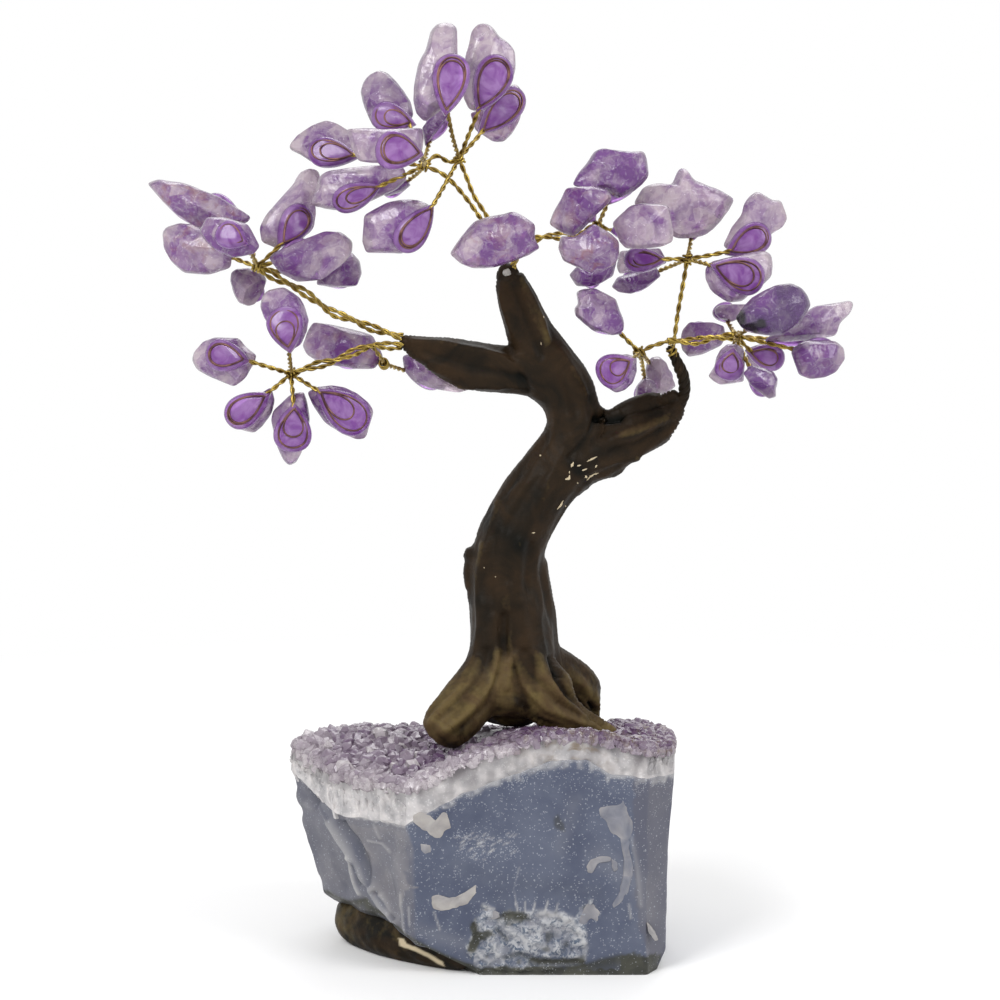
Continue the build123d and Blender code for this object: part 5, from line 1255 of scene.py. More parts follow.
# The rock. Each column goes from the front left corner round to the left: shares of width and depth at its foot,
# waist and rim, then the height shares of the quartz, the crystals and the rim, then the knee's height and reach.
rockForm = {
    "width": 0.077,
    "depth": 0.056,
    "height": 0.049,
    "columns": [
        ((-0.05, -0.52), (-0.22, -0.52), (-0.24, -0.52), (0.62, 0.75, 0.79), (0.13, 0.98)),
        ((0.03, -0.52), (-0.04, -0.52), (-0.08, -0.52), (0.76, 0.87, 0.91), (0.06, 0.8)),
        ((0.13, -0.52), (0.12, -0.52), (0.12, -0.52), (0.88, 0.97, 0.99), (0.06, 0.8)),
        ((0.21, -0.52), (0.215, -0.52), (0.22, -0.52), (0.89, 0.98, 1), (0.06, 0.8)),
        ((0.27, -0.52), (0.28, -0.52), (0.285, -0.52), (0.83, 0.96, 0.99), (0.06, 0.8)),
        ((0.375, -0.52), (0.375, -0.52), (0.375, -0.52), (0.81, 0.92, 0.95), (0.06, 0.8)),
        ((0.405, -0.44), (0.43, -0.45), (0.445, -0.45), (0.81, 0.91, 0.94), (0.08, 0.8)),
        ((0.4, -0.04), (0.44, -0.02), (0.455, 0), (0.78, 0.85, 0.88), (0.1, 0.78)),
        ((0.32, 0.28), (0.36, 0.31), (0.37, 0.33), (0.72, 0.79, 0.83), (0.1, 0.78)),
        ((0.14, 0.4), (0.18, 0.45), (0.17, 0.46), (0.65, 0.73, 0.77), (0.12, 0.78)),
        ((-0.1, 0.4), (-0.13, 0.47), (-0.15, 0.46), (0.62, 0.72, 0.76), (0.14, 0.78)),
        ((-0.24, 0.22), (-0.42, 0.3), (-0.43, 0.29), (0.66, 0.75, 0.8), (0.19, 0.78)),
        ((-0.27, -0.03), (-0.525, -0.07), (-0.545, -0.05), (0.72, 0.79, 0.85), (0.2, 0.78)),
        ((-0.19, -0.28), (-0.37, -0.32), (-0.42, -0.3), (0.6, 0.74, 0.79), (0.2, 0.78)),
    ],
    "waistHeight": 0.52,
    "dish": (0.60, 0.74, 0.88),
    "dishMiddle": (0.03, -0.02),
    "rimDraw": 0.985,
    "spacing": 0.00033,
    "rowSpacing": 0.00041,
    "scallopSize": 0.013,
    "scallopDepth": 0.0016,
    "scratchCount": 40,
    "scratchSeed": 8,
    # what shows in front and on the left: a finish, how much of it, and its region in pixels
    "regions": [
        ("broken", 0.9, [345,820, 360,826, 395,826, 399,830, 406,841, 410,856, 413,869, 406,870, 417,889, 406,890,
         403,913, 406,934, 398,926, 388,908, 376,893, 369,872, 364,856, 356,839]),
        ("broken", 0.35, [292,786, 296,776, 312,786, 318,808, 300,806]),
        ("ice", 1, [467,947, 472,928, 473,920, 480,919, 483,905, 493,908, 502,918, 503,912, 523,912, 532,910, 545,910,
         560,912, 573,919, 578,910, 592,899, 599,913, 597,922, 590,913, 585,927, 588,943, 585,960, 573,965, 560,968,
         543,972, 517,971, 493,972, 480,972, 472,963]),
        ("broken", 0.6, [528,916, 545,911, 560,914, 574,922, 576,933, 560,934, 545,932, 530,936]),
        ("rind", 0.9, [469,950, 471,936, 471,922, 477,919, 478,932, 492,928, 494,935, 480,939, 476,950]),
        ("rind", 0.55, [501,916, 503,912, 524,911, 529,916, 520,923, 505,925]),
        ("rind", 0.5, [528,961, 545,955, 560,960, 583,955, 585,966, 560,970, 530,970]),
        ("rind", 0.6, [553,819, 557,815, 563,819, 566,827, 567,831, 561,831, 556,824]),
        # painted shadow under the hollow of the bottom right
        ("rind", 0.75, [620,972, 622,956, 634,952, 644,957, 657,950, 660,975]),
        ("purple", 0.75, [634,776, 680,776, 680,960, 652,965, 640,930, 634,880]),
        ("dust", 0.5, [452,830, 480,826, 515,834, 518,858, 495,864, 458,858]),
        ("dust", 0.35, [403,895, 418,900, 424,955, 408,940]),
    ],
    # lines: pixels, width on the left of a line that runs down (below one that runs right), width on its other side,
    # rise, what it paints, and how much
    "lines": [
        ([319,807, 327,820, 337,836, 349,854, 360,873, 371,887, 380,907, 394,921], 2.2, 5, 0.0009, "shade", 0.45),
        ([343,824, 356,839, 364,856, 369,870, 371,884], 4, 2.2, -0.0007, "shade", -0.5),
        ([349,857, 350,870, 354,884, 359,894], 1.6, 2.5, 0.0005, "shade", 0.7),
        ([354,864, 358,873, 361,883], 2.5, 2.5, -0.0004, "shade", -0.7),
        ([380,896, 391,913], 2, 3, 0.0006, "shade", 0.5),
        ([376,892, 386,906, 396,918], 1.8, 1.8, -0.0006, "shade", -0.55),
        ([307,790, 319,806, 327,818], 3, 3, -0.0008, "shade", -0.45),
        ([292,789, 300,801, 312,806], 5, 3, 0.0007, "shade", 0.1),
        ([369,840, 383,843, 391,852], 1.2, 1.2, 0.0003, "shade", 0.35),
        ([374,824, 381,838], 1.2, 1.2, 0.0002, "shade", 0.3),
        ([398,830, 401,850, 396,872, 403,905], 3, 5, 0.0003, "shade", 0.05),
        ([403,894, 406,934], 1.3, 1.3, 0.0004, "shade", 0.45),
        ([320,842, 338,864, 346,886], 9, 9, -0.0005, "shade", -0.12),
        ([303,820, 309,850, 318,872], 5, 5, 0.0003, "broken", 0.25),
        # painted shadow: a dark band where the rock overhangs the foot
        ([327,893, 337,899, 347,903, 366,900, 371,907, 383,917, 394,924, 406,936, 417,943, 430,950, 445,957, 470,967],
         9, 2.6, -0.0003, "rind", 1),
        # the dark rind strip along the bottom, painted as contact shadow as well
        ([470,968, 500,973, 540,973, 580,969, 600,962, 622,957, 640,962, 660,958], 14, 3.2, -0.0002, "rind", 0.9),
        ([519,868, 514,888, 516,905], 1, 1, 0.0001, "shade", 0.3), ([434,912, 440,930], 1, 1, 0.0001, "shade", 0.4),
        ([631,838, 637,870, 640,905], 1.4, 3, 0.0002, "shade", 0.18),
        ([600,858, 640,884, 648,915], 13, 13, 0, "shade", 0.09), ([520,884, 596,892], 10, 10, 0, "shade", -0.16),
        ([420,930, 462,944], 8, 8, 0, "shade", 0.1), ([455,862, 500,880, 505,905], 9, 9, 0, "shade", -0.12),
        ([575,800, 560,850], 8, 8, 0, "shade", 0.06), ([518,913, 516,903], 1, 1, 0.0002, "shade", 0.65),
        ([525,912, 525,902], 0.9, 0.9, 0.0002, "shade", 0.5), ([533,911, 535,903], 1, 1, 0.0002, "shade", 0.65),
        ([545,911, 548,901], 1, 1, 0.0002, "shade", 0.65), ([556,911, 558,903], 0.9, 0.9, 0.0002, "shade", 0.5),
        ([483,905, 494,909], 1.5, 1.5, 0.0003, "shade", 0.5), ([629,905, 631,918], 1.2, 1.2, 0.0002, "shade", 0.4),
        ([410,907, 411,925], 1, 1, 0, "shade", 0.4), ([549,938, 560,948], 8, 8, 0, "shade", -0.1),
        ([500,922, 512,933, 530,941, 548,949], 4, 4, 0.0004, "shade", 0.4),
        ([540,913, 558,915, 572,921, 578,931], 3.5, 3.5, 0.0004, "shade", 0.45),
        ([479,954, 489,961, 499,955, 492,941], 3.5, 3.5, 0.0003, "shade", 0.35),
        ([580,934, 586,947, 583,960], 2.5, 2.5, 0.0003, "shade", 0.35),
        ([474,925, 478,940, 472,950], 3.5, 3.5, -0.0003, "rind", 0.8),
        ([499,918, 512,915, 527,918], 3.5, 3.5, -0.0003, "rind", 0.7),
        ([505,958, 520,954, 540,962, 583,961], 3, 3, -0.0002, "rind", 0.6),
        ([497,930, 507,940], 2.5, 2.5, -0.0002, "rind", 0.6),
    ],
}
rockScale = np.array([rockForm["width"], rockForm["depth"], rockForm["height"]])


def rockRings():
    rows = rockForm["columns"]
    foot, waist, rim = (np.array([[*row[k], 0] for row in rows]) for k in range(3))
    heights = np.array([row[3] for row in rows])
    knees = np.array([row[4] for row in rows])
    high = np.array([0, 0, 1.0])
    knee = foot + (waist - foot) * knees[:, 1:]
    drawn = rim * [rockForm["rimDraw"], rockForm["rimDraw"], 1]
    rings = [foot, knee + knees[:, :1] * high, waist + rockForm["waistHeight"] * high, rim + heights[:, :1] * high,
             rim + heights[:, 1:2] * high, drawn + heights[:, 2:] * high]
    return [ring * rockScale for ring in rings]


rings = rockRings()
spans = np.linalg.norm(np.roll(rings[2], -1, 0) - rings[2], axis=1)
steps = np.ceil(spans / rockForm["spacing"]).astype(int)
around = np.concatenate([k + np.arange(count) / count for k, count in enumerate(steps)])


# a ring's place at a share of the way round, straight between its corners
def ringAt(ring, at):
    low = np.floor(at).astype(int) % len(ring)
    return ring[low] + (ring[(low + 1) % len(ring)] - ring[low]) * (at - np.floor(at))[:, None]


def dishAt(which):
    return np.array([*rockForm["dishMiddle"], rockForm["dish"][which]]) * rockScale


# a wall of rows between rings, softened a little along both of its ways
def rockWall(levels, soften, spacing):
    rows = []
    for low, high in zip(levels, levels[1:]):
        count = max(int(np.linalg.norm(high - low, axis=1).max() / spacing), 2)
        share = np.arange(count)[:, None, None] / count
        rows.append(low + share * (high - low))
    wall = np.concatenate(rows + [levels[-1][None]])
    for _ in range(soften):
        wall = (np.roll(wall, 1, 1) + 2 * wall + np.roll(wall, -1, 1)) / 4
        wall[1:-1] = (wall[:-2] + 2 * wall[1:-1] + wall[2:]) / 4
    return wall


# outward normals of a wall, from its steps round and up
def wallNormals(wall):
    steps = np.roll(wall, -1, 1) - np.roll(wall, 1, 1)
    return unit(np.cross(steps, np.gradient(wall, axis=0)) + 1e-12)


# how far inside a region of pixels each point is: 1 well inside, 0 outside, eased over the softness
def regionMask(pixels, region, softness):
    corners = pairsOf(region)
    inside = np.zeros(len(pixels), bool)
    for a, b in zip(corners, np.roll(corners, -1, 0)):
        crosses = (a[1] > pixels[:, 1]) != (b[1] > pixels[:, 1])
        reach = a[0] + (pixels[:, 1] - a[1]) / (b[1] - a[1] + 1e-9) * (b[0] - a[0])
        inside ^= crosses & (pixels[:, 0] < reach)
    away = strokeGap(pixels, [*corners, corners[0]])[0]
    return eased(np.where(inside, away, -away), -softness, softness)


levels = [ringAt(ring, around) for ring in rings]
jag = 0.0004 * lumps(levels[3], 0.0022, 31) + 0.0002 * lumps(levels[3], 0.0007, 32)
levels[3] = levels[3] + jag[:, None] * [0, 0, 1.0]
wall = rockWall(levels[:4], 3, rockForm["rowSpacing"])
normals = wallNormals(wall)
shape = wall.shape[:2]
points, facingOut = wall.reshape(-1, 3), normals.reshape(-1, 3)
pixels = pixelsOf(points)
sawn = np.maximum(eased(-facingOut[:, 1], 0.86, 0.98), eased(facingOut[:, 0], 0.75, 0.95))
seen = eased(-(facingOut @ looking), 0.0, 0.3)
scallops = rockForm["scallopDepth"] * grains(points, rockForm["scallopSize"], 2)[0] ** 2
raised = (1 - sawn) * (0.0006 * lumps(points, 0.008, 1) + 0.00022 * lumps(points, 0.0028, 2) - scallops + 0.0005)
raised += 0.00005 * lumps(points, 0.0015, 3) + sawn * 0.00006 * lumps(points, 0.004, 4)
ragged = pixels + 2.6 * np.stack([lumps(points, 0.0017, 21), lumps(points, 0.0017, 22)], -1) \
    + 1.7 * np.stack([lumps(points, 0.0006, 25), lumps(points, 0.0006, 26)], -1)
paint = {key: np.zeros(len(points)) for key in ("broken", "ice", "purple", "rind", "dust", "shade")}
for key, amount, region in rockForm["regions"]:
    paint[key] = np.maximum(paint[key], amount * seen * regionMask(ragged, region, 1.2))
for line, near, far, lift, key, amount in rockForm["lines"]:
    gap, side = strokeGap(pixels, line)
    mark = seen * np.exp(-(gap / np.where(side > 0, near, far)) ** 2)
    raised += lift * mark
    paint[key] += amount * mark
rough = lumps(points * [1, 1, 1.4], 0.0019, 23) + 0.5 * lumps(points, 0.0008, 27)
paint["rind"] = np.maximum(paint["rind"], 0.6 * paint["ice"] * eased(-rough, 0.5, 1.1))
scratch = np.random.default_rng(rockForm["scratchSeed"])
for place in scratch.uniform((456, 832), (516, 860), (rockForm["scratchCount"], 2)):
    reach = scratch.uniform(0.4, 2.2) * np.array([1, -0.6])
    paint["shade"] += 0.36 * seen * strokeMask(pixels, [place - reach, place + reach], 0.85)
paint["ice"] *= 0.34 + 0.66 * eased(rough + 0.5 * lumps(points, 0.0005, 28), -0.4, 0.6)
raised += paint["ice"] * (0.0006 * rough + 0.0003 * lumps(points, 0.0022, 6) + 0.0001)
rowShare = np.repeat(np.linspace(0, 1, shape[0]), shape[1])
held = eased(rowShare, 0.0, 0.03) * eased(rowShare, 1.0, 0.97)
points = points + (raised * held)[:, None] * facingOut
points[:, 2] = np.maximum(points[:, 2], 0)
paint["broken"] = np.maximum(paint["broken"] * (0.7 + 0.3 * lumps(points, 0.004, 8)),
                             (1 - sawn) * (0.30 + 0.3 * lumps(points, 0.007, 9)))
paint["purple"] = np.maximum(paint["purple"], (1 - sawn) * eased(-facingOut[:, 0], 0.2, 0.8) * 0.45)
behind = eased(facingOut[:, 1], 0.1, 0.6) * (0.55 + 0.3 * lumps(points, 0.006, 14) + 0.3 * lumps(points, 0.0016, 15))
paint["rind"] = np.maximum(paint["rind"], behind)
# painted contact shadow: darker within about 1.6 mm of the floor
low = points[:, 2] + 0.0011 * lumps(points, 0.004, 12) + 0.0006 * lumps(points, 0.0011, 13)
paint["rind"] = np.maximum(paint["rind"], eased(low, 0.0016, 0.0007))
paint["dust"] += 0.24 + 0.7 * eased(rowShare, 0.85, 1.0) ** 2 * (0.6 + 0.5 * lumps(points, 0.006, 24))
topEdge = eased(rowShare + 0.022 * lumps(points, 0.0008, 28), 0.965, 1.0)
paint["shade"] += 0.6 * topEdge * (0.8 + 0.4 * lumps(points, 0.0012, 29))
quads, tris = closedGrid(*shape)
ends = [levels[0].mean(0), dishAt(0)]
fill = {key: np.concatenate([np.clip(value, -1, 1), [0, 0]]) for key, value in paint.items()}
agate = buildPiece("agateBlock", turnedOut((np.concatenate([points, ends]), quads, tris, fill)), agateStone)
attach(agate, "root")
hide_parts("base_agate")
print("agate built:", len(points), "points")

# Pale skin left on the sawn front, each patch a thin plate: its outline in pixels
flakeForm = {
    "rise": 0.00016,
    "sunk": 0.0006,
    "columns": 72,
    "shares": (0.45, 0.75, 0.9, 0.97, 1.0),
    "cream": [0.8, 0.3, 0.75, 0.1, 0.1, 0.15, 0.3, 0.3, 0.35, 0.5, 0.7],
    "outlines": [
        [412.6,815.9, 422,811.9, 430,815.9, 438,821.3, 440.7,813.2, 444.8,811.9, 450.1,821.3, 451.5,828, 446,829.3,
         440.7,837.4, 434,837.9, 427.3,832, 414,824], [420.6,844, 430,845.4, 430.6,852, 424.7,853.4, 421.4,849.4],
        [430.8,896.3, 438,894.1, 447.4,898.4, 456.8,896.3, 467.5,890.9, 476.4,884.2, 475,894.9, 467.5,903.8,
         454.1,908.3, 440.7,911, 432.7,908.3],
        [598.8,809.2, 608.2,805.2, 618.9,804.7, 624.2,798.5, 626.9,810.5, 633.1,823.9, 630.9,840, 620.2,840,
         618.1,836, 610.8,832, 606.8,821.3, 600.1,815.9],
        [620.2,838, 630.9,838, 628.2,848, 633.1,865.5, 632.3,877.5, 622.9,877.5, 624.2,861.4],
        [622.9,875, 632.3,875, 628.2,890.9, 620.2,903, 613.5,908.3, 612.2,904.3, 618.9,893.6],
        [586.2,866.8, 590.7,860.1, 598.8,856.1, 606.8,855.5, 612.2,857.4, 610.8,861.4, 604.1,860.1, 597.4,864.1,
         592.1,873.5, 587.5,872.2], [611.6,858.8, 616.2,862.8, 618.1,869.5, 613.5,870.8, 611.6,865.5],
        [580,917.7, 584,907, 592.1,898.9, 594.8,907, 600.1,912.3, 597.4,921.7, 590.7,917.7, 585.4,923.1, 581.4,931.1,
         577.9,925.7], [483.6,905.6, 491.6,909.7, 498.3,912.3, 500.2,917.7, 493,919, 484.9,913.7],
        [647,923, 651,925.7, 659,940.5, 655,941.8, 648.3,932.4],
    ],
}
frontPlace, frontNormal = np.array([0, -0.52 * rockForm["depth"], 0]), np.array([0, -1.0, 0])


# a plate: its ragged outline drawn in to its middle, rising steeply at the edge, with its back sunk in the stone
def flakeShell(outline, cream, seed):
    edge = placesOn(outlinePixels(outline, flakeForm["columns"]), frontPlace, frontNormal)
    edge = edge + (0.00022 * lumps(edge, 0.0007, seed))[:, None] * unit(edge - edge.mean(0))
    shares = np.array(flakeForm["shares"])
    disc = edge.mean(0) + shares[:, None, None] * (edge - edge.mean(0))[None]
    lift = flakeForm["rise"] * (1 - 0.75 * shares**6)[:, None] * (1 + 0.5 * lumps(disc, 0.0012, seed + 50))
    front = disc + lift[..., None] * frontNormal
    back = disc[::-1] - flakeForm["sunk"] * frontNormal
    points = np.concatenate([front.reshape(-1, 3), back.reshape(-1, 3), [front[0].mean(0), back[-1].mean(0)]])
    quads, tris = closedGrid(2 * len(shares), flakeForm["columns"])
    brim = np.concatenate([np.repeat(np.concatenate([shares, shares[::-1]]) ** 8, flakeForm["columns"]), [0, 0]])
    values = {"cream": np.clip(cream + 0.25 * brim + 0.25 * lumps(points, 0.002, seed + 9), 0, 1)}
    return turnedOut((points, quads, tris, values))


plates = [flakeShell(*made, 60 + k) for k, made in enumerate(zip(flakeForm["outlines"], flakeForm["cream"]))]
flakes = buildPiece("agateFlakes", joined(plates), skinStone)
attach(flakes, "root")

# Grown crystals: six-sided prisms with blunt points, placed all at once
crystalForm = {
    "seed": 5,
    "prismCount": 1500,
    "prismWidths": (0.001, 0.0024),
    "topCount": 2300,
    "topWidths": (0.0011, 0.0028),
    "rimCount": 1100,
    "rimWidths": (0.0011, 0.0024),
    # pixels of painted glints, where the palest crystals stand
    "bright": [504,724, 397,768, 411,769, 404,748, 366,752, 379,738, 455,748, 330,746, 418,757, 345,765],
}


# each crystal's foot, way up, width and height make 20 corners: foot, waist and shoulder rings, a root and a tip
def crystalShells(places, ways, widths, heights, dice, values):
    guide = unit(np.cross(ways, dice.normal(size=ways.shape)))
    other = np.cross(ways, guide)
    turn = np.arange(6) * math.pi / 3
    uneven = 1 + dice.uniform(-0.2, 0.2, (len(places), 6))
    ring = (np.cos(turn)[None, :, None] * guide[:, None] + np.sin(turn)[None, :, None] * other[:, None]) \
        * (widths[:, None] / 2 * uneven)[..., None]
    lift = ways * heights[:, None]
    waist = dice.uniform(0.25, 0.6, len(places))[:, None]
    lean = (dice.uniform(-0.16, 0.16, (len(places), 2)) * widths[:, None])[..., None] * np.stack([guide, other], 1)
    top = places + lift + lean.sum(1)
    shoulder = dice.uniform(0.15, 0.5, len(places))[:, None, None]
    rings = [places[:, None] + ring * 0.9 - 0.5 * lift[:, None], places[:, None] + ring + (waist * lift)[:, None],
             top[:, None] + ring * shoulder - 0.1 * lift[:, None]]
    points = np.concatenate(rings + [(places - 0.6 * lift)[:, None], top[:, None]], 1)
    quads, tris = closedGrid(3, 6)
    shift = (np.arange(len(places)) * 20)[:, None, None]
    spread = {key: np.repeat(value, 20) for key, value in values.items()}
    return points.reshape(-1, 3), (quads[None] + shift).reshape(-1, 4), (tris[None] + shift).reshape(-1, 3), spread


# a band between two rings, fluted upwards where it is broken and nearly flat where it is sawn
def bandShell(lowRing, highRing, lowPole, highPole, depth, seed):
    wall = rockWall([lowRing, highRing], 1, rockForm["spacing"])
    normals = wallNormals(wall)
    flat = np.maximum(eased(-normals[..., 1], 0.8, 0.97), eased(normals[..., 0], 0.7, 0.95))
    flat = np.repeat(flat.mean(0)[None], len(wall), 0)
    flutes = lumps(wall * [1, 1, 0.3], 0.0026, seed) + 0.6 * lumps(wall * [1, 1, 0.25], 0.0011, seed + 1)
    share = np.linspace(0, 1, len(wall))[:, None]
    wall = wall + (depth * flutes * (1 - 0.7 * flat) * eased(share, 0.0, 0.1))[..., None] * normals
    quads, tris = closedGrid(*wall.shape[:2])
    return turnedOut((np.concatenate([wall.reshape(-1, 3), [lowPole, highPole]]), quads, tris)), wall, normals, flat


dice = np.random.default_rng(crystalForm["seed"])
band, bandWall, bandNormals, bandFlat = bandShell(levels[3], levels[4], dishAt(0), dishAt(1), 0.0007, 61)
pick = dice.integers(0, bandWall.shape[0] * bandWall.shape[1], crystalForm["prismCount"])
share = (pick // bandWall.shape[1]) / bandWall.shape[0]
kept = (share > 0.35) & (bandFlat.reshape(-1)[pick] < 0.5)
pick, share = pick[kept], share[kept]
places, outs = bandWall.reshape(-1, 3)[pick], bandNormals.reshape(-1, 3)[pick]
level = bandFlat.reshape(-1)[pick]
ways = unit(outs * (0.6 - 0.55 * level)[:, None] + [0, 0, 1] + dice.normal(0, 0.14, places.shape))
widths = dice.uniform(*crystalForm["prismWidths"], len(places))
heights = widths * dice.uniform(1.2, 2.4, len(places))
feet = places - outs * (0.42 * widths * (0.4 + level))[:, None] - 0.7 * ways * heights[:, None]
rustPlace = placesOn([[572, 750]], frontPlace, frontNormal)[0]


def quartzValues(points, share):
    nearRust = np.exp(-(np.linalg.norm(points - rustPlace, axis=1) / 0.0075) ** 2)
    streaks = lumps(points * [1, 1, 0.3], 0.0009, 66) + 0.7 * lumps(points, 0.0018, 67)
    duller = 0.48 * eased(points[:, 0], -0.022, -0.008) - 0.06 * eased(points[:, 0], 0.004, 0.016) + 0.24 * streaks
    return {"tone": np.clip(0.6 * eased(share + 0.25 * lumps(points, 0.003, 64), 0.5, 1.15) + duller - 0.05, 0, 1),
            "stain": np.clip(0.04 + 1.4 * nearRust * (0.6 + 0.8 * lumps(points, 0.002, 65)), 0, 1)}


prisms = crystalShells(feet, ways, widths, heights, dice, quartzValues(places, share))
bandShare = np.concatenate([np.repeat(np.linspace(0, 1, bandWall.shape[0]), bandWall.shape[1]), [0, 1]])
band = withValues(band, **quartzValues(band[0], bandShare))
quartz = buildPiece("quartzBand", joined([band, prisms]), quartzStone, sharpAbove=24)
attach(quartz, "root")
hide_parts("base_quartz_band")

bed = bandShell(levels[4], levels[5], dishAt(1), dishAt(2), 0.0005, 71)[0]
out = np.sqrt(dice.uniform(0.0, 0.97, crystalForm["topCount"]))
edge = ringAt(rings[5], dice.uniform(0, len(rings[5]), crystalForm["topCount"]))
places = dishAt(2) + (edge - dishAt(2)) * out[:, None]
outward = unit((edge - dishAt(2)) * [1, 1, 0])
ways = unit([0, 0, 1.0] + dice.normal(0, 0.34, places.shape) + outward * (0.3 * eased(out, 0.7, 1.0))[:, None])
widths = dice.uniform(*crystalForm["topWidths"], len(places)) * (1 + 0.35 * eased(places[:, 0], -0.005, -0.03))
heights = widths * dice.uniform(0.3, 0.7, len(places)) * (1 - 0.2 * eased(places[:, 0], -0.01, 0.01))
rimPick = dice.uniform(0, len(rings[5]), crystalForm["rimCount"])
rimShare = dice.uniform(0.0, 1, len(rimPick))
rim = ringAt(rings[4], rimPick) + (ringAt(rings[5], rimPick) - ringAt(rings[4], rimPick)) * rimShare[:, None]
rimOut = unit((rim - dishAt(2)) * [1, 1, 0])
rimWidths = dice.uniform(*crystalForm["rimWidths"], len(rim)) * (1 + 0.35 * eased(rim[:, 0], -0.005, -0.03))
rimLean = 0.35 + 0.6 * eased(rim[:, 0], -0.01, -0.03) * (1 - rimShare)
rimWays = unit(rimOut * rimLean[:, None] + [0, 0, 0.8] + dice.normal(0, 0.2, rim.shape))
places = np.concatenate([places, rim - rimOut * 0.0004])
ways = np.concatenate([ways, rimWays])
widths = np.concatenate([widths, rimWidths])
heights = np.concatenate([heights, rimWidths * dice.uniform(0.35, 0.7, len(rim))])
tones = np.concatenate([dice.normal(0.74, 0.11, len(out)) - 0.3 * eased(out, 0.8, 1.0),
                        0.02 + 0.5 * rimShare**1.3 + dice.normal(0, 0.08, len(rim))])
tones += 0.22 * lumps(places, 0.006, 68)
shown = pixelsOf(places)
# painted glints: the crystal nearest each spot gets the palest tone and sits proud
for spot in pairsOf(crystalForm["bright"]):
    best = np.argmin(np.linalg.norm(shown - spot, axis=1))
    tones[best], heights[best] = -1, 0.75 * widths[best]
rightward = eased(places[:, 0], -0.004, 0.012)
tones = np.clip(tones + 0.44 * rightward, 0, 1)
stains = 0.06 + 1.1 * rightward * dice.uniform(0, 1, len(places))
feet = places - ways * (0.0004 + 0.0002 * rightward[:, None])
crystals = crystalShells(feet, ways, widths, heights, dice, {"tone": tones, "stain": stains})
bed = withValues(bed, tone=0.5, stain=0.1)
druse = buildPiece("amethystDruse", joined([bed, crystals]), druseStone, sharpAbove=36)
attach(druse, "root")
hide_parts("base_amethyst_crystals")
print("quartz and crystals built:", len(places), "crystals")

# The putty foot that levels the rock
footForm = {
    "outline": [(-0.42, 0.04), (-0.425, -0.10), (-0.32, -0.30), (-0.16, -0.47), (-0.07, -0.50), (-0.10, -0.24),
                (-0.18, 0.02), (-0.30, 0.13)],
    "height": 0.0095,
    "profile": [(0.4, 0), (0.78, 0), (0.9, 0.08), (0.98, 0.28), (1, 0.5), (0.95, 0.75), (0.8, 0.93), (0.5, 1)],
    "columns": 260,
    "bare": [398,938, 404,939, 407,944, 414,946, 428,953, 443,962, 444,966, 438,964, 427,957, 413,950, 406,948,
             400,946],
}
outline = smoothLine(np.array(footForm["outline"] + footForm["outline"][:1]) * rockScale[:2], 0.0005)
outline = evenly(outline, np.linalg.norm(np.diff(outline, axis=0), axis=1).sum() / footForm["columns"])[:-1]
profile = smoothLine(footForm["profile"], 0.02)
flat = outline.mean(0) + profile[:, None, :1] * (outline - outline.mean(0))[None]
high = np.repeat(profile[:, 1:], len(outline), 1) * footForm["height"]
lump = np.concatenate([flat, high[..., None]], -1)
normals = wallNormals(lump)
noise = 0.0005 * lumps(lump, 0.006, 41) + 0.0002 * lumps(lump, 0.0018, 42)
lump = lump + (noise * eased(high, 0.0, 0.002))[..., None] * normals
lump[..., 2] = np.clip(lump[..., 2], 0, None)
points = np.concatenate([lump.reshape(-1, 3), [[*outline.mean(0), 0], [*outline.mean(0), footForm["height"]]]])
footValues = {"wear": 0.50 + 0.35 * lumps(points, 0.007, 43) + 0.2 * lumps(points, 0.0015, 44),
              "fold": eased(-lumps(points, 0.005, 45), 0.3, 0.9),
              "chip": regionMask(pixelsOf(points) + lumps(points, 0.001, 46)[:, None], footForm["bare"], 0.8)}
foot = buildPiece("puttyFoot", turnedOut((points, *closedGrid(len(profile), len(outline)), footValues)), footFinish)
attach(foot, "root")
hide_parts("levelling_foot")
print("foot built")

# Floor, lights and camera
studio = {
    "floorSize": 3.0,
    "shadowReach": 0.11,
    "whiteReach": 0.30,
    "ambient": 0.62,
    "lamps": [  # place, aim, size, watts
        ((-0.55, -0.75, 0.85), 0.5, 7.5),
        ((0.75, -0.45, 0.60), 0.5, 3.8),
        ((0.1, 0.7, 0.8), 0.6, 3.0),
    ],
}


# white where the camera, a mirror or a clear stone looks straight at it
def whiteRays(tree):
    path = put(tree, "ShaderNodeLightPath")
    mirrored = mathNode(tree, "MAXIMUM", path.outputs["Is Glossy Ray"], path.outputs["Is Transmission Ray"])
    return mathNode(tree, "MAXIMUM", path.outputs["Is Camera Ray"], mirrored)


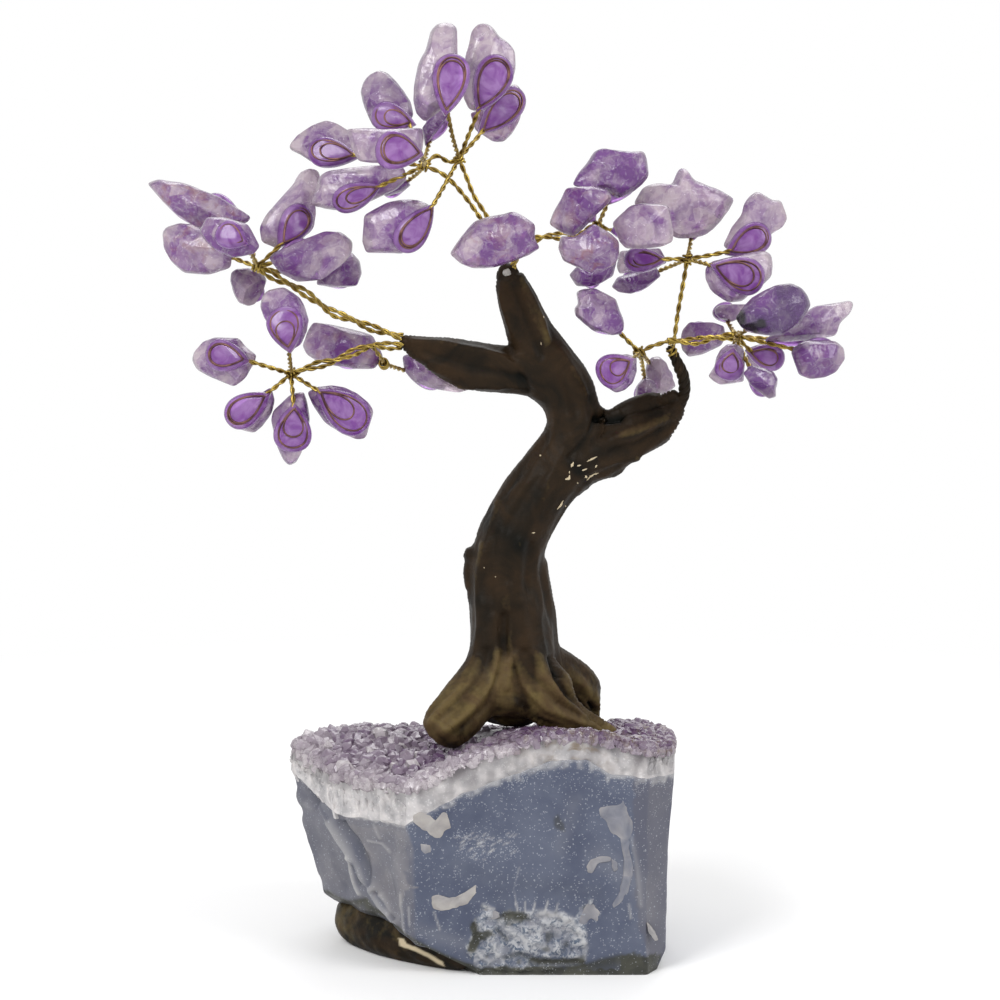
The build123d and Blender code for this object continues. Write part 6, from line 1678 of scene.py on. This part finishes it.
floorMaterial, tree, _ = newMaterial("paleFloor", Base_Color=(0.93, 0.93, 0.93, 1), Roughness=0.9)
place = put(tree, "ShaderNodeTexCoord").outputs["Object"]
away = put(tree, "ShaderNodeVectorMath", {0: place}, operation="LENGTH").outputs["Value"]
far = ranged(tree, away, studio["shadowReach"], studio["whiteReach"])
white = put(tree, "ShaderNodeEmission", {"Color": (1, 1, 1, 1), "Strength": 1.0})
mixed = put(tree, "ShaderNodeMixShader", {0: times(tree, far, whiteRays(tree)),
                                          1: tree.nodes["Principled BSDF"].outputs["BSDF"],
                                          2: white.outputs["Emission"]})
feed(tree, tree.nodes["Material Output"].inputs["Surface"], mixed.outputs["Shader"])
size = studio["floorSize"]
floorMesh = bpy.data.meshes.new("floor")
floorMesh.from_pydata([(-size, -size, 0), (size, -size, 0), (size, size, 0), (-size, size, 0)], [], [(0, 1, 2, 3)])
floorMesh.materials.append(floorMaterial)
floor = bpy.data.objects.new("floor", floorMesh)
bpy.context.scene.collection.objects.link(floor)

world = bpy.data.worlds.new("studio")
bpy.context.scene.world = world
world.use_nodes = True
tree = world.node_tree
strength = ranged(tree, whiteRays(tree), 0.0, 1.0, studio["ambient"], 1.0)
tree.links.new(strength, tree.nodes["Background"].inputs["Strength"])
tree.nodes["Background"].inputs["Color"].default_value = (1, 1, 1, 1)


def aimed(item, place, aim):
    item.location = place
    item.rotation_mode = "QUATERNION"
    direction = np.array(aim, float) - np.array(place, float)
    item.rotation_quaternion = Vector(direction).to_track_quat("-Z", "Y")
    bpy.context.scene.collection.objects.link(item)


for k, (place, width, watts) in enumerate(studio["lamps"]):
    lamp = bpy.data.lights.new(f"lamp{k}", "AREA")
    lamp.size, lamp.energy = width, watts
    aimed(bpy.data.objects.new(f"lamp{k}", lamp), place, (0, 0, 0.1))

lens = bpy.data.cameras.new("camera")
lens.lens, lens.sensor_width = shot["lens"], shot["sensor"]
lens.clip_start, lens.clip_end = 0.01, 20
cameraObject = bpy.data.objects.new("camera", lens)
aimed(cameraObject, eye, (0, 0, shot["aimHeight"]))
bpy.context.scene.camera = cameraObject
bpy.context.scene.view_settings.view_transform = "Standard"
print("studio built")
